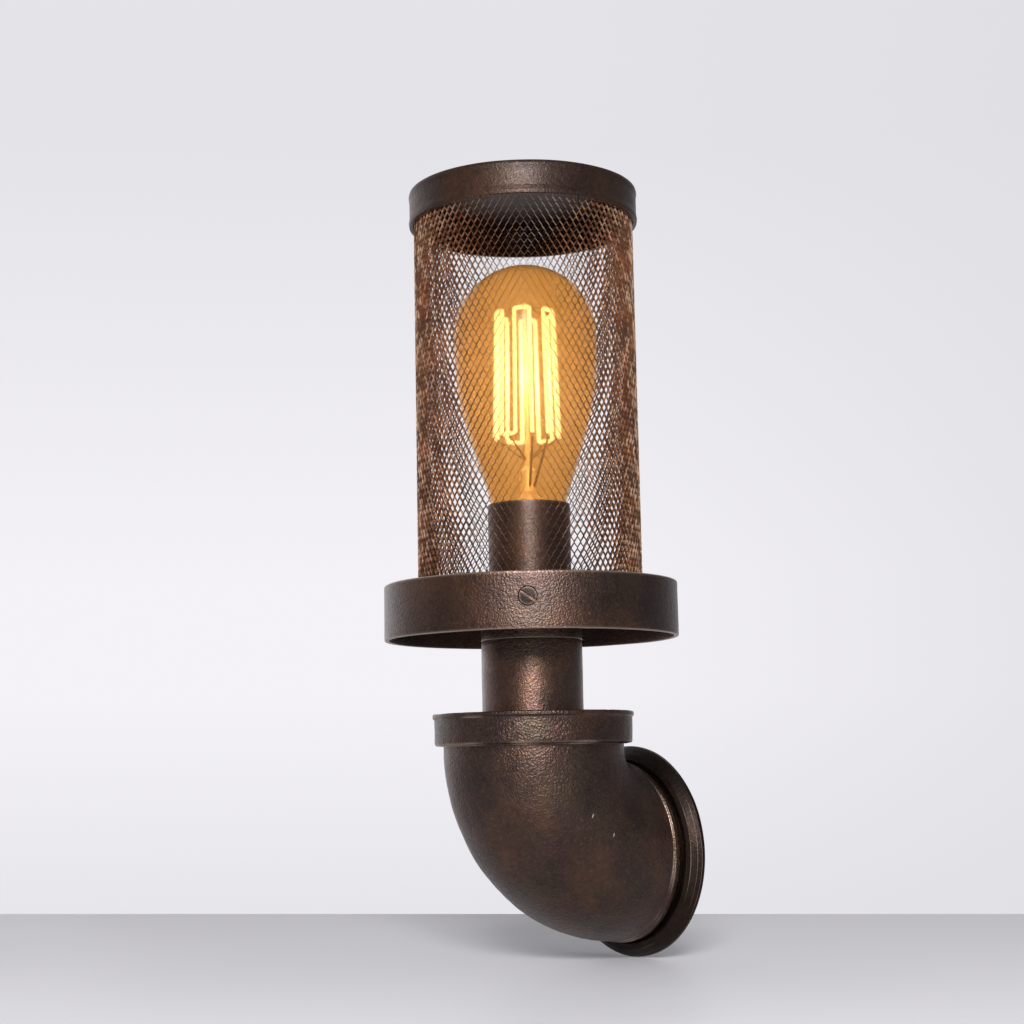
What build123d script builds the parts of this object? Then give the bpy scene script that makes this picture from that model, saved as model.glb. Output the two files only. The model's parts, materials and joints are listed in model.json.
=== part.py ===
from build123d import *
import math
import os

# Industrial pipe wall light, in millimetres.
# The wall is the plane y = 0 and the light stands out of it towards -Y, with +Z up.
# The origin is the centre of the wall bracket's back. Heights are measured from there.
# Every turned piece is drawn as (radius, height) points and revolved about its own axis.

# ---- Clearances
body_gap = 0.3          # between pieces that come apart by hand
fit_gap = 0.1           # between pieces that are pushed or clamped together
thread_gap = 0.05       # round a screw in its threaded hole
wall_gap = 2.5          # between the wall and the back of the guard ring
cut_past = 1.0          # cutters run this far past the faces that they open

# ---- Layout of the whole light
pipe_seen = 32.0        # mouth of the elbow to the lower edge of the guard ring
mesh_seen = 162.7       # guard ring to the lower edge of the top cap

# ---- Wall bracket, a steel pan that is screwed to the wall and holds the flange off it
pan_d = 60.0
pan_wall = 1.6
bracket_t = 2.5
bracket_inset = 1.3     # the bracket's edge lies this far inside the flange's groove
spigot_wall = 2.5       # ring that the elbow slips over
spigot_h = 11.0
slot_spacing = 46.0     # between the two wall screw slots
slot_w = 4.6
slot_l = 8.6
cable_hole_d = 16.0
earth_drop = 20.0       # earth screw below the centre
earth_d = 4.0
earth_head_d = 8.0
earth_head_h = 2.6
earth_nut_h = 2.2       # clinched nut that stands up from the plate

# ---- Cable grommet
grommet_d = 19.0
grommet_bore = 9.0
grommet_lip = 1.4

# ---- Terminal block on the bracket
block_w = 24.0
block_h = 11.0
block_depth = 13.0
block_rise = 15.5       # centre of the block above the cable hole
notch_w = 1.4           # notch between two ways
notch_deep = 2.0
ways = 3
way_pitch = 7.5
way_bore = 3.4
way_screw_d = 3.4
way_screw_h = 5.0
way_screw_sink = 1.0
way_screw_lift = 1.5    # the screw's point above the floor of its well
way_grip = 4.0          # a lead's end inside the block

# ---- Wall flange, a thin pressed cover clamped between elbow and bracket
flange_d = 93.4
flange_t = 1.6
flange_rim = 1.8        # straight part of the edge at the back
flange_lip_h = 6.4      # raised inner edge above the flange's back
flange_lip_land = 0.8   # flat top of the raised edge
flange_lip_slope = 1.5  # the raised edge leans in by this much down to the groove
flange_dome = 1.1       # how far the face bulges
groove_w = 1.8          # foot of the groove, from the elbow's neck to the raised edge

# ---- Elbow casting
elbow_d = 79.0
elbow_wall = 5.5
throat_r = 6.5          # inside of the bend
flange_run = 10.2       # flange's back to the start of the bend
mouth_run = 15.5        # end of the bend to the top of the mouth
neck_cut = 2.0          # the plain neck is this much smaller in radius than the elbow
neck_h = 4.4            # length of the neck
neck_step = 1.5         # the neck's end steps down in radius to pass through the flange
end_bead_proud = 0.8    # end bead outside the elbow
end_bead_h = 2.6
collar_proud = 3.8      # band round the mouth outside the elbow
collar_h = 14.1
collar_bead_proud = 0.7     # bead round the mouth outside the band
collar_bead_h = 2.2
bead_bevel = 0.6
collar_bevel = 1.2
mouth_recess = 0.5      # the closing bush lies this far below the mouth
mouth_wall = 1.9        # casting round the closing bush

# ---- Screws that hold elbow on bracket, and bush in elbow
elbow_screw_d = 4.0
elbow_screw_sink = 0.5
elbow_screw_angles = [270, 150]
collar_screw_d = 3.0
collar_screw_sink = 0.2
collar_screw_turn = 43.0    # from straight ahead towards +X
collar_screw_drop = 7.0     # below the mouth

# ---- Reducing bush that closes the mouth and carries the pipe
bush_flange_t = 2.8
skirt_cover = 5.0       # collar casting outside the bush's skirt
bush_skirt_wall = 3.0
bush_skirt_h = 8.0
bush_hub_wall = 3.2
pipe_socket = 10.2      # the pipe stands this deep in the bush
bush_web = 3.2

# ---- Pipe, neck sleeve and the hollow threaded tube that clamps them
pipe_d = 44.4
pipe_wall = 2.4
joint_gap = 0.2         # shadow line between pipe and neck sleeve
neck_over = 0.6         # the joint lies this far below the guard ring
neck_lip = 4.0          # the sleeve's lip inside the pipe
neck_lip_wall = 2.0
joint_deep = 0.5        # depth of the shadow line
tube_d = 10.0
tube_bore = 7.8
tube_below = 6.5        # thread that shows below the lower nut
nut_flats = 14.0
nut_h = 3.1
washer_d = 24.0
washer_t = 1.5

# ---- Guard ring, the downward open drum under the mesh
ring_d = 129.0
ring_h = 24.0
ring_wall = 2.0
ring_plate_t = 2.2
ring_round = 1.2        # outer top edge
ring_edge = 0.7         # lower edge
mesh_ledge = 2.4        # the ring's hole is this much smaller in radius than the mesh

# ---- Carrier plate that the guard ring sits over
carrier_t = 1.8
carrier_rim_h = 10.5
carrier_round = 3.0

# ---- Three slotted set screws that lock the guard ring on the carrier
set_screw_d = 7.6
set_screw_point_d = 4.4
set_screw_l = 4.6
set_screw_sink = 0.25
set_screw_point_gap = 0.2       # point to the carrier's rim
set_screw_drop = 10.5       # below the top of the ring
set_screw_turns = {"a": 50.0, "b": 170.0, "c": 290.0}   # from straight ahead towards +X
set_screw_tilt = {"a": -35.0, "b": 20.0, "c": 75.0}     # of the slot
boss_d = 13.0
boss_reach = 3.5        # bosses reach this far in from the drum's wall
slot_cut_w = 1.3
slot_cut_deep = 1.3

# ---- Mesh guard: diamond mesh rolled into a tube, with a plain hoop at each end
mesh_d = 98.8
mesh_t = 0.9
mesh_columns = 20
mesh_rows = 13
mesh_strand = 1.6
hoop_h = 3.4

# ---- Top cap
cap_h = 15.0
cap_wall = 1.45
cap_fit = 0.15
cap_bead_proud = 0.6    # beads outside the cap's waist
cap_bead_h = 3.0
cap_bead_slope = 0.6
cap_top_t = 1.8
cap_top_bevel = 1.0
cap_low_bevel = 0.6

# ---- Lampholder
sleeve_d = 36.4
sleeve_t = 0.6
sleeve_h = 35.0
sleeve_bevel = 0.5
holder_bevel = 0.8
holder_floor = 1.7
holder_h = 32.0
shell_t = 0.4
shell_h = 24.0
shell_step = 4.8        # shell's seat above the holder's floor
leaf_w = 5.0
leaf_t = 0.5
leaf_foot = 6.8         # from the axis
leaf_gap = 0.5          # leaf to the sides of its trough
well_d = 18.0           # clears the bulb's insulator
trough_w = 5.8
trough_l = 27.0
clamp_x = 11.0
clamp_d = 3.0
clamp_head_d = 5.0
clamp_head_h = 1.5

# ---- Leads
lead_d = 2.0
lead_gap = 0.3
lead_rise = 3.0         # straight up out of the block
lead_first_bend = 3.5
lead_bend = 6.0
lead_end_bend = 1.6
lead_side_gap = 0.6     # each lead from the middle of the threaded tube
lead_low = 18.0         # height where the leads pass under the threaded tube

# ---- Bulb: teardrop shape with a 27 mm screw cap
bulb_d = 64.0
bulb_l = 141.6          # contact to crown; the crown is half a ball
bulb_neck_d = 33.6
bulb_glass_t = 0.8
glass_in_cap = 6.0      # the glass reaches this far into the screw cap
neck_rise = 30.6        # contact to the shoulder of the neck
cone_d = 58.6           # where the cone runs into the crown
cone_rise = 73.4
cap_shell_d = 26.2
cap_shell_wall = 0.5
cap_shell_l = 23.0
cap_shell_cone = 2.0    # foot of the shell slopes in to the insulator
contact_d = 9.5
contact_h = 1.0
insulator_h = 2.6
insulator_top_d = 23.0
insulator_low_d = 13.0

# ---- Inside the bulb
stem_flare_d = 22.0
stem_flare_h = 9.0
stem_tube_d = 8.0
stem_tube_h = 18.0
stem_pinch_h = 2.5
stem_rod_d = 2.6
stem_top = 121.0        # contact to the top of the glass rod
filament_legs = 12
filament_top_d = 26.0
filament_low_d = 29.0
upper_turns_rise = 117.5    # contact to the upper turns
lower_turns_rise = 59.0     # contact to the lower turns
filament_wire = 0.6
support_wire = 0.5
support_gap = 0.05
support_drop = 2.0      # upper supports leave the rod below its top
support_rise = 9.0      # lower supports leave the rod below the lower turns
lead_in_d = 0.7

# ---- Sizes that follow from the sizes above
bend_r = elbow_d / 2 + throat_r
elbow_bore = elbow_d - 2 * elbow_wall
neck_d = elbow_d - 2 * neck_cut
end_bead_d = elbow_d + 2 * end_bead_proud
collar_d = elbow_d + 2 * collar_proud
collar_bead_d = collar_d + 2 * collar_bead_proud
bush_flange_d = collar_d - 2 * mouth_wall
bush_skirt_d = collar_d - 2 * (skirt_cover + fit_gap)
spigot_d = elbow_bore - 2 * fit_gap
groove_d = neck_d + 2 * groove_w
flange_lip_d = groove_d + 2 * (flange_lip_slope + flange_lip_land)
bracket_d = groove_d - 2 * bracket_inset
carrier_d = ring_d - 2 * (ring_wall + boss_reach + body_gap)
ring_hole_d = mesh_d - 2 * mesh_ledge
cap_d = mesh_d + 2 * (cap_fit + cap_wall)
cap_bead_d = cap_d + 2 * cap_bead_proud
holder_d = sleeve_d - 2 * (sleeve_t + fit_gap)

# ---- Places that follow, as distances off the wall
wall_to_axis = ring_d / 2 + wall_gap
bend_start = wall_to_axis - bend_r
flange_back = bend_start - flange_run
plate_front = flange_back + bracket_t
shoulder = plate_front + flange_t
bead_back = shoulder + neck_h
bead_front = bead_back + end_bead_h
block_front = bracket_t + block_depth
way_middle = bracket_t + block_depth / 2

# ---- Places that follow, as heights
collar_top = bend_r + mouth_run
collar_low = collar_top - collar_h
ring_low = collar_top + pipe_seen
ring_top = ring_low + ring_h
cap_low = ring_top + mesh_seen
cap_top = cap_low + cap_h
bush_top = collar_top - mouth_recess
bush_seat = bush_top - bush_flange_t
pipe_foot = bush_top - pipe_socket
bush_foot = pipe_foot - bush_web
pipe_top = ring_low - neck_over - joint_gap
carrier_top = ring_top - ring_plate_t - body_gap
carrier_low = carrier_top - carrier_t
lower_nut_top = bush_foot - washer_t
lower_nut_foot = lower_nut_top - nut_h
tube_foot = lower_nut_foot - tube_below
sleeve_foot = carrier_top + nut_h
holder_foot = sleeve_foot + sleeve_t
wire_floor = holder_foot + holder_floor
lead_top = wire_floor + thread_gap + lead_d / 2
leaf_low = wire_floor + thread_gap + lead_d + lead_gap
shell_foot = wire_floor + shell_step
bulb_foot = leaf_low + leaf_t + body_gap
cap_shell_foot = bulb_foot + contact_h + insulator_h
cap_shell_top = cap_shell_foot + cap_shell_l
shell_bore = cap_shell_d + 2 * body_gap
high_turns = bulb_foot + upper_turns_rise
low_turns = bulb_foot + lower_turns_rise

upright = Location((0, -wall_to_axis, 0))
out_of_wall = Location((0, 0, 0), (90, 0, 0))


def turned(points, rounds={}, bevels={}):
    """Revolve an outline of (radius, height) points about the height axis."""
    face = make_face(Polyline(*[(r, 0, h) for r, h in points], close=True))
    for size, corners in rounds.items():
        near = [face.vertices().sort_by_distance((r, 0, h))[0] for r, h in corners]
        face = fillet(near, size)
    for size, corners in bevels.items():
        near = [face.vertices().sort_by_distance((r, 0, h))[0] for r, h in corners]
        face = chamfer(near, size)
    return revolve(face, Axis.Z)


def ring(outer_d, bore_d, low, high, **edges):
    """A plain turned ring or tube between two heights."""
    outer = outer_d / 2
    bore = bore_d / 2
    return turned([(bore, low), (outer, low), (outer, high), (bore, high)], **edges)


def disc(diameter, low, high, **edges):
    """A plain turned disc or rod between two heights."""
    return turned([(0, low), (diameter / 2, low), (diameter / 2, high), (0, high)], **edges)


def along_elbow(diameter, wall_end, top_end):
    """A round bar along the elbow's centre line, from a distance off the wall to a height."""
    centre = Line((0, -wall_end, 0), (0, -bend_start, 0))
    centre += TangentArc((0, -bend_start, 0), (0, -wall_to_axis, bend_r), tangent=(0, -1, 0))
    centre += Line((0, -wall_to_axis, bend_r), (0, -wall_to_axis, top_end))
    start = Plane(origin=(0, -wall_end, 0), z_dir=(0, -1, 0))
    return sweep(start * Circle(diameter / 2), centre)


def sideways(turn):
    """Frame at the lamp axis whose height axis points outwards, turned from straight ahead to +X."""
    return upright * Location((0, 0, 0), (0, 0, turn)) * Location((0, 0, 0), (90, 0, 0))


def slotted(screw, diameter, top, tilt):
    """Cut a driver slot across the top of a screw."""
    cutter = Box(2 * diameter, slot_cut_w, 2 * slot_cut_deep)
    return screw - Location((0, 0, top), (0, 0, tilt)) * cutter


def bar(start, end, size):
    """A thin square wire between two points."""
    run = Vector(*end) - Vector(*start)
    face = Plane(origin=start, z_dir=run) * Rectangle(size, size)
    return extrude(face, run.length)


def lead(points, radii):
    """A round wire along straight runs with bends."""
    path = FilletPolyline(*points, radius=radii)
    first = Vector(*points[1]) - Vector(*points[0])
    return sweep(Plane(origin=points[0], z_dir=first) * Circle(lead_d / 2), path)


def hexagon(flats, low, high):
    """A hexagon bar between two heights."""
    face = Plane.XY.offset(low) * RegularPolygon(flats / 2, 6, major_radius=False)
    return extrude(face, high - low)


# ---- Wall side
def make_wall_bracket():
    """Pan with a plate behind the flange, a spigot ring, wall slots, a cable hole and an earth nut."""
    pan = pan_d / 2
    edge = bracket_d / 2
    spigot = spigot_d / 2
    points = [(0, 0), (pan, 0), (pan, flange_back), (edge, flange_back), (edge, plate_front)]
    points += [(spigot, plate_front), (spigot, plate_front + spigot_h)]
    points += [(spigot - spigot_wall, plate_front + spigot_h), (spigot - spigot_wall, plate_front)]
    points += [(pan - pan_wall, plate_front), (pan - pan_wall, bracket_t), (0, bracket_t)]
    bracket = turned(points)
    bracket -= disc(cable_hole_d, -cut_past, bracket_t + cut_past)
    for side in (-1, 1):
        slot = Location((side * slot_spacing / 2, 0, -cut_past)) * SlotOverall(slot_l, slot_w)
        bracket -= extrude(slot, bracket_t + 2 * cut_past)
    earth_place = Location((0, -earth_drop, 0))
    nut_top = bracket_t + earth_nut_h
    bracket += earth_place * disc(earth_head_d, bracket_t, nut_top)
    bracket -= earth_place * disc(earth_d + 2 * thread_gap, -cut_past, nut_top + cut_past)
    return out_of_wall * bracket


def make_grommet():
    """Rubber ring with a lip on the front of the bracket's cable hole."""
    bore = grommet_bore / 2
    wall = cable_hole_d / 2 - fit_gap
    points = [(bore, 0), (wall, 0), (wall, bracket_t), (grommet_d / 2, bracket_t)]
    points += [(grommet_d / 2, bracket_t + grommet_lip), (bore, bracket_t + grommet_lip)]
    return out_of_wall * turned(points)


def earth_head_low():
    """Underside of the earth screw's head, one lead above the nut."""
    return bracket_t + earth_nut_h + lead_d + thread_gap


def make_earth_screw():
    """Pan head screw that clamps the earth lead on the earth nut."""
    head = earth_head_low()
    points = [(0, 0), (earth_d / 2, 0), (earth_d / 2, head), (earth_head_d / 2, head)]
    points += [(earth_head_d / 2, head + earth_head_h), (0, head + earth_head_h)]
    top = head + earth_head_h
    screw = turned(points, bevels={0.8: [(earth_head_d / 2, top)]})
    screw = slotted(screw, earth_head_d, top, 0)
    return out_of_wall * Location((0, -earth_drop, 0)) * screw


def way_places():
    """Sideways places of the ways in the terminal block."""
    return [(i - (ways - 1) / 2) * way_pitch for i in range(ways)]


def make_terminal_block():
    """Three way block with a wire bore and a screw well in each way."""
    block = Location((0, block_rise, way_middle)) * Box(block_w, block_h, block_depth)
    well_floor = block_front - way_screw_sink - way_screw_h
    for x in way_places():
        wire_way = Location((x, block_rise, way_middle), (90, 0, 0)) * Cylinder(way_bore / 2, 2 * block_h)
        well = disc(way_screw_d + 2 * thread_gap, well_floor, block_front + cut_past)
        block -= wire_way
        block -= Location((x, block_rise, 0)) * well
    for x in way_places()[:-1]:
        notch = Box(notch_w, 2 * block_h, 2 * notch_deep)
        block -= Location((x + way_pitch / 2, block_rise, block_front)) * notch
    return out_of_wall * block


def make_terminal_screws():
    """One screw in each way of the terminal block."""
    top = block_front - way_screw_sink
    low = top - way_screw_h + way_screw_lift
    solids = []
    for x in way_places():
        screw = slotted(disc(way_screw_d, low, top), way_screw_d, top, 0)
        solids.append(out_of_wall * Location((x, block_rise, 0)) * screw)
    return Compound(children=solids)


def make_flange():
    """Thin domed wall flange with a raised inner edge and a groove round the elbow's neck."""
    rim = flange_d / 2
    lip = flange_lip_d / 2
    foot = groove_d / 2
    bore = neck_d / 2 - neck_step + fit_gap
    lip_top = flange_back + flange_lip_h
    rim_top = flange_back + flange_rim
    lip_inside = lip - flange_lip_land
    outer = [(bore, shoulder), (foot, shoulder), (lip_inside, lip_top), (lip, lip_top)]
    edge = Polyline(*[(r, 0, h) for r, h in outer])
    middle = ((rim + lip) / 2, 0, (rim_top + lip_top) / 2 + flange_dome)
    edge += ThreePointArc((lip, 0, lip_top), middle, (rim, 0, rim_top))
    inner = [(rim, rim_top), (rim, flange_back), (rim - flange_t, flange_back)]
    inner += [(rim - flange_t, rim_top), (lip_inside, lip_top - flange_t)]
    inner += [(foot, plate_front), (bore, plate_front), (bore, shoulder)]
    edge += Polyline(*[(r, 0, h) for r, h in inner])
    return out_of_wall * revolve(make_face(edge), Axis.Z)


# ---- Elbow
def radial_holes(shape, diameter, spots):
    """Drill holes along the height axis of each spot's frame."""
    for spot in spots:
        shape -= spot * Location((0, 0, elbow_bore / 4)) * Cylinder(
            diameter / 2, elbow_bore / 2, align=(Align.CENTER, Align.CENTER, Align.MIN)
        )
    return shape


def elbow_screw_spots():
    """Frames of the screws in the elbow's end bead, pointing outwards from the wall axis."""
    off_wall = (bead_back + bead_front) / 2
    frames = []
    for angle in elbow_screw_angles:
        frames.append(Location((0, -off_wall, 0), (0, 90 - angle, 0)))
    return frames


def collar_screw_spot():
    """Frame of the screw in the elbow's collar."""
    return Location((0, 0, collar_top - collar_screw_drop)) * sideways(collar_screw_turn)


def make_elbow():
    """Hollow quarter bend with a beaded end at the flange and a banded mouth for the bush."""
    body = along_elbow(elbow_d, bead_back, collar_top - collar_bevel)
    neck = disc(neck_d, shoulder, bead_front)
    neck += disc(neck_d - 2 * neck_step, plate_front, shoulder)
    corners = [(end_bead_d / 2, bead_back), (end_bead_d / 2, bead_front)]
    neck += disc(end_bead_d, bead_back, bead_front, bevels={bead_bevel: corners})
    body += out_of_wall * neck
    band = collar_d / 2
    bead = collar_bead_d / 2
    bead_low = collar_top - collar_bead_h
    points = [(0, collar_low), (band, collar_low), (band, bead_low), (bead, bead_low)]
    points += [(bead, collar_top), (0, collar_top)]
    edges = {bead_bevel: [(bead, bead_low), (bead, collar_top)], collar_bevel: [(band, collar_low)]}
    body += upright * turned(points, bevels=edges)
    body -= along_elbow(elbow_bore, plate_front - cut_past, collar_top + cut_past)
    body -= upright * disc(bush_skirt_d + 2 * fit_gap, bush_foot, collar_top + cut_past)
    body -= upright * disc(bush_flange_d, bush_seat, collar_top + cut_past)
    body = radial_holes(body, elbow_screw_d + 2 * thread_gap, elbow_screw_spots())
    return radial_holes(body, collar_screw_d + 2 * thread_gap, [collar_screw_spot()])


def make_elbow_screws():
    """Headless screws through the end bead onto the bracket's spigot."""
    tip = spigot_d / 2 + thread_gap
    top = end_bead_d / 2 - elbow_screw_sink
    solids = []
    for spot in elbow_screw_spots():
        solids.append(spot * slotted(disc(elbow_screw_d, tip, top), elbow_screw_d, top, 0))
    return Compound(children=solids)


def make_collar_screw():
    """Headless screw through the collar onto the bush's skirt."""
    tip = bush_skirt_d / 2 + thread_gap
    top = collar_d / 2 - collar_screw_sink
    screw = slotted(disc(collar_screw_d, tip, top), collar_screw_d, top, 30)
    return collar_screw_spot() * screw


def make_bush():
    """Turned bush: flange in the mouth, skirt in the elbow and a socket for the pipe."""
    hub = pipe_d / 2 + thread_gap
    hub_out = hub + bush_hub_wall
    bore = tube_d / 2 + thread_gap
    flange = bush_flange_d / 2 - fit_gap
    skirt = bush_skirt_d / 2
    skirt_in = skirt - bush_skirt_wall
    skirt_foot = bush_seat - bush_skirt_h
    points = [(bore, bush_foot), (hub_out, bush_foot), (hub_out, bush_seat), (skirt_in, bush_seat)]
    points += [(skirt_in, skirt_foot), (skirt, skirt_foot), (skirt, bush_seat), (flange, bush_seat)]
    points += [(flange, bush_top), (hub, bush_top), (hub, pipe_foot), (bore, pipe_foot)]
    return upright * turned(points)


# ---- Stem
def make_pipe():
    """Plain pipe from the bush up to the neck sleeve."""
    return upright * ring(pipe_d, pipe_d - 2 * pipe_wall, pipe_foot, pipe_top)


def make_neck_sleeve():
    """Sleeve of the pipe's diameter with a lip that drops into the pipe."""
    outer = pipe_d / 2
    lip = outer - pipe_wall - thread_gap
    bore = lip - neck_lip_wall
    low = pipe_top + joint_gap
    waist = outer - joint_deep
    points = [(bore, low - neck_lip), (lip, low - neck_lip), (lip, pipe_top), (waist, pipe_top)]
    points += [(waist, low), (outer, low), (outer, carrier_low), (bore, carrier_low)]
    return upright * turned(points)


def make_threaded_tube():
    """Hollow threaded tube from inside the elbow up into the lampholder."""
    return upright * ring(tube_d, tube_bore, tube_foot, wire_floor)


def make_lower_nut():
    """Nut and washer under the bush."""
    nut = hexagon(nut_flats, lower_nut_foot, lower_nut_top)
    nut -= disc(tube_d + 2 * thread_gap, lower_nut_foot - cut_past, lower_nut_top + cut_past)
    return upright * nut


def make_lower_washer():
    """Wide washer between the lower nut and the bush."""
    return upright * ring(washer_d, tube_d + 2 * fit_gap, lower_nut_top, bush_foot)


def make_upper_nut():
    """Nut that clamps the carrier plate down on the stem."""
    nut = hexagon(nut_flats, carrier_top, sleeve_foot)
    nut -= disc(tube_d + 2 * thread_gap, carrier_top - cut_past, sleeve_foot + cut_past)
    return upright * nut


def make_carrier():
    """Plate with a turned down rim that the guard ring sits over."""
    rim = carrier_d / 2
    hole = tube_d / 2 + fit_gap
    low = carrier_top - carrier_rim_h
    points = [(hole, carrier_low), (rim - carrier_t, carrier_low), (rim - carrier_t, low)]
    points += [(rim, low), (rim, carrier_top), (hole, carrier_top)]
    return upright * turned(points, rounds={carrier_round: [(rim, carrier_top)]})


# ---- Guard
def make_guard_ring():
    """Drum that is open below, with a hole under the mesh and three bosses for set screws."""
    outer = ring_d / 2
    inner = outer - ring_wall
    hole = ring_hole_d / 2
    plate_low = ring_top - ring_plate_t
    points = [(hole, plate_low), (inner, plate_low), (inner, ring_low), (outer, ring_low)]
    points += [(outer, ring_top), (hole, ring_top)]
    edges = {ring_edge: [(outer, ring_low)]}
    drum = turned(points, rounds={ring_round: [(outer, ring_top)]}, bevels=edges)
    drum = upright * drum
    boss_foot = carrier_d / 2 + body_gap
    for turn in set_screw_turns.values():
        boss = disc(boss_d, boss_foot, inner + ring_wall / 2)
        drum += set_screw_frame(turn) * boss
    for turn in set_screw_turns.values():
        hole_cut = disc(set_screw_d + 2 * thread_gap, boss_foot - cut_past, outer + cut_past)
        drum -= set_screw_frame(turn) * hole_cut
    return drum


def set_screw_frame(turn):
    """Frame of a set screw, with its height axis pointing outwards."""
    return Location((0, 0, ring_top - set_screw_drop)) * sideways(turn)


def make_set_screw(name):
    """Slotted set screw whose point stops just short of the carrier's rim."""
    top = ring_d / 2 - set_screw_sink
    low = top - set_screw_l
    point = carrier_d / 2 + set_screw_point_gap
    body = set_screw_d / 2
    tip = set_screw_point_d / 2
    screw = turned([(0, point), (tip, point), (tip, low), (body, low), (body, top), (0, top)])
    screw = slotted(screw, set_screw_d, top, set_screw_tilt[name])
    return set_screw_frame(set_screw_turns[name]) * screw


def mesh_sag():
    """How far the middle of a flat side of the mesh tube lies inside its corners."""
    return mesh_d / 2 * (1 - math.cos(math.pi / (2 * mesh_columns)))


def mesh_top():
    """Height of the upper hoop, which stands against the underside of the cap's top."""
    return cap_top - cap_top_t


def prism_tube(outer_d, wall, low, high):
    """A tube with flat sides, two for each column of diamonds."""
    sides = 2 * mesh_columns
    outer = RegularPolygon(outer_d / 2, sides)
    inner = RegularPolygon(outer_d / 2 - wall / math.cos(math.pi / sides), sides)
    return extrude(Plane.XY.offset(low) * (outer - inner), high - low)


def make_mesh_guard():
    """Diamond mesh: straight strands between knuckles, so the tube has two flats to a column."""
    low = ring_top + hoop_h
    high = cap_low + hoop_h
    hoops = prism_tube(mesh_d, mesh_t, ring_top, low) + prism_tube(mesh_d, mesh_t, high, mesh_top())
    row_step = (high - low) / mesh_rows
    pitch = math.pi * mesh_d / mesh_columns
    slope = math.hypot(row_step, pitch / 2)
    half_h = row_step - mesh_strand / 2 * slope / (pitch / 2)
    half_w = pitch / 2 - mesh_strand / 2 * slope / row_step
    diamond = make_face(Polyline((half_w, 0), (0, half_h), (-half_w, 0), (0, -half_h), close=True))
    upright_face = Plane.XZ * diamond
    deep = mesh_t + mesh_sag() + 2 * cut_past
    tool = Location((0, -mesh_d / 2 - cut_past, 0)) * extrude(upright_face, -deep)
    cutters = []
    for row in range(mesh_rows + 1):
        shift = 0.5 * (row % 2)
        for column in range(mesh_columns):
            turn = (column + shift) * 360 / mesh_columns
            height = low + row * row_step
            cutters.append(Location((0, 0, height), (0, 0, turn)) * tool)
    strands = prism_tube(mesh_d, mesh_t, low, high) - cutters
    return upright * (hoops + strands)


def make_top_cap():
    """Closed lid with a bead at its top edge and its lower edge."""
    waist = cap_d / 2
    bead = cap_bead_d / 2
    bore = mesh_d / 2 + cap_fit
    under = cap_top - cap_top_t
    points = [(bore, cap_low), (bead, cap_low), (bead, cap_low + cap_bead_h)]
    slope = cap_bead_h + cap_bead_slope
    points += [(waist, cap_low + slope), (waist, cap_top - slope)]
    points += [(bead, cap_top - cap_bead_h), (bead, cap_top), (0, cap_top), (0, under), (bore, under)]
    edges = {cap_top_bevel: [(bead, cap_top)], cap_low_bevel: [(bead, cap_low)]}
    return upright * turned(points, bevels=edges)


# ---- Lampholder
def make_holder_sleeve():
    """Thin cup round the lampholder."""
    outer = sleeve_d / 2
    inner = outer - sleeve_t
    hole = tube_d / 2 + fit_gap
    points = [(hole, sleeve_foot), (outer, sleeve_foot), (outer, sleeve_foot + sleeve_h)]
    points += [(inner, sleeve_foot + sleeve_h), (inner, holder_foot), (hole, holder_foot)]
    return upright * turned(points, bevels={sleeve_bevel: [(outer, sleeve_foot)]})


def make_holder_body():
    """Porcelain cup with a trough for leads and a cross trough for the contact leaf."""
    outer = holder_d / 2
    bore = shell_bore / 2 + shell_t + thread_gap
    hole = tube_d / 2 + thread_gap
    top = holder_foot + holder_h
    points = [(hole, holder_foot), (outer, holder_foot), (outer, top), (bore, top)]
    points += [(bore, shell_foot), (hole, shell_foot)]
    body = turned(points, bevels={holder_bevel: [(outer, top)]})
    deep = shell_foot - wire_floor + cut_past
    align = (Align.CENTER, Align.CENTER, Align.MIN)
    body -= Location((0, 0, wire_floor)) * Box(trough_l, trough_w, deep, align=align)
    across = 2 * (leaf_foot + leaf_t)
    body -= Location((0, 0, wire_floor)) * Box(leaf_w + 2 * leaf_gap, across, deep, align=align)
    body -= disc(well_d, leaf_low, shell_foot + cut_past)
    for side in (-1, 1):
        hole_cut = disc(clamp_d + 2 * thread_gap, holder_foot - cut_past, wire_floor + cut_past)
        body -= Location((side * clamp_x, 0, 0)) * hole_cut
    return upright * body


def make_screw_shell():
    """Brass shell that the bulb screws into."""
    shell = ring(shell_bore + 2 * shell_t, shell_bore, shell_foot, shell_foot + shell_h)
    return upright * shell


def make_centre_contact():
    """Bent brass leaf that bridges the leads under the bulb's contact."""
    top = leaf_low + leaf_t
    foot = leaf_foot
    inner = foot - leaf_t
    points = [(-foot, wire_floor), (-foot, top), (foot, top), (foot, wire_floor)]
    points += [(inner, wire_floor), (inner, leaf_low), (-inner, leaf_low), (-inner, wire_floor)]
    face = make_face(Polyline(*[(0, y, z) for y, z in points], close=True))
    leaf = Location((-leaf_w / 2, 0, 0)) * extrude(face, leaf_w, dir=(1, 0, 0))
    return upright * leaf


def make_clamp_screws():
    """Two screws that clamp the leads' ends in the lampholder."""
    head = lead_top + lead_d / 2
    solids = []
    for side in (-1, 1):
        points = [(0, holder_foot), (clamp_d / 2, holder_foot), (clamp_d / 2, head)]
        points += [(clamp_head_d / 2, head), (clamp_head_d / 2, head + clamp_head_h)]
        points += [(0, head + clamp_head_h)]
        solids.append(upright * Location((side * clamp_x, 0, 0)) * turned(points))
    return Compound(children=solids)


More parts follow.
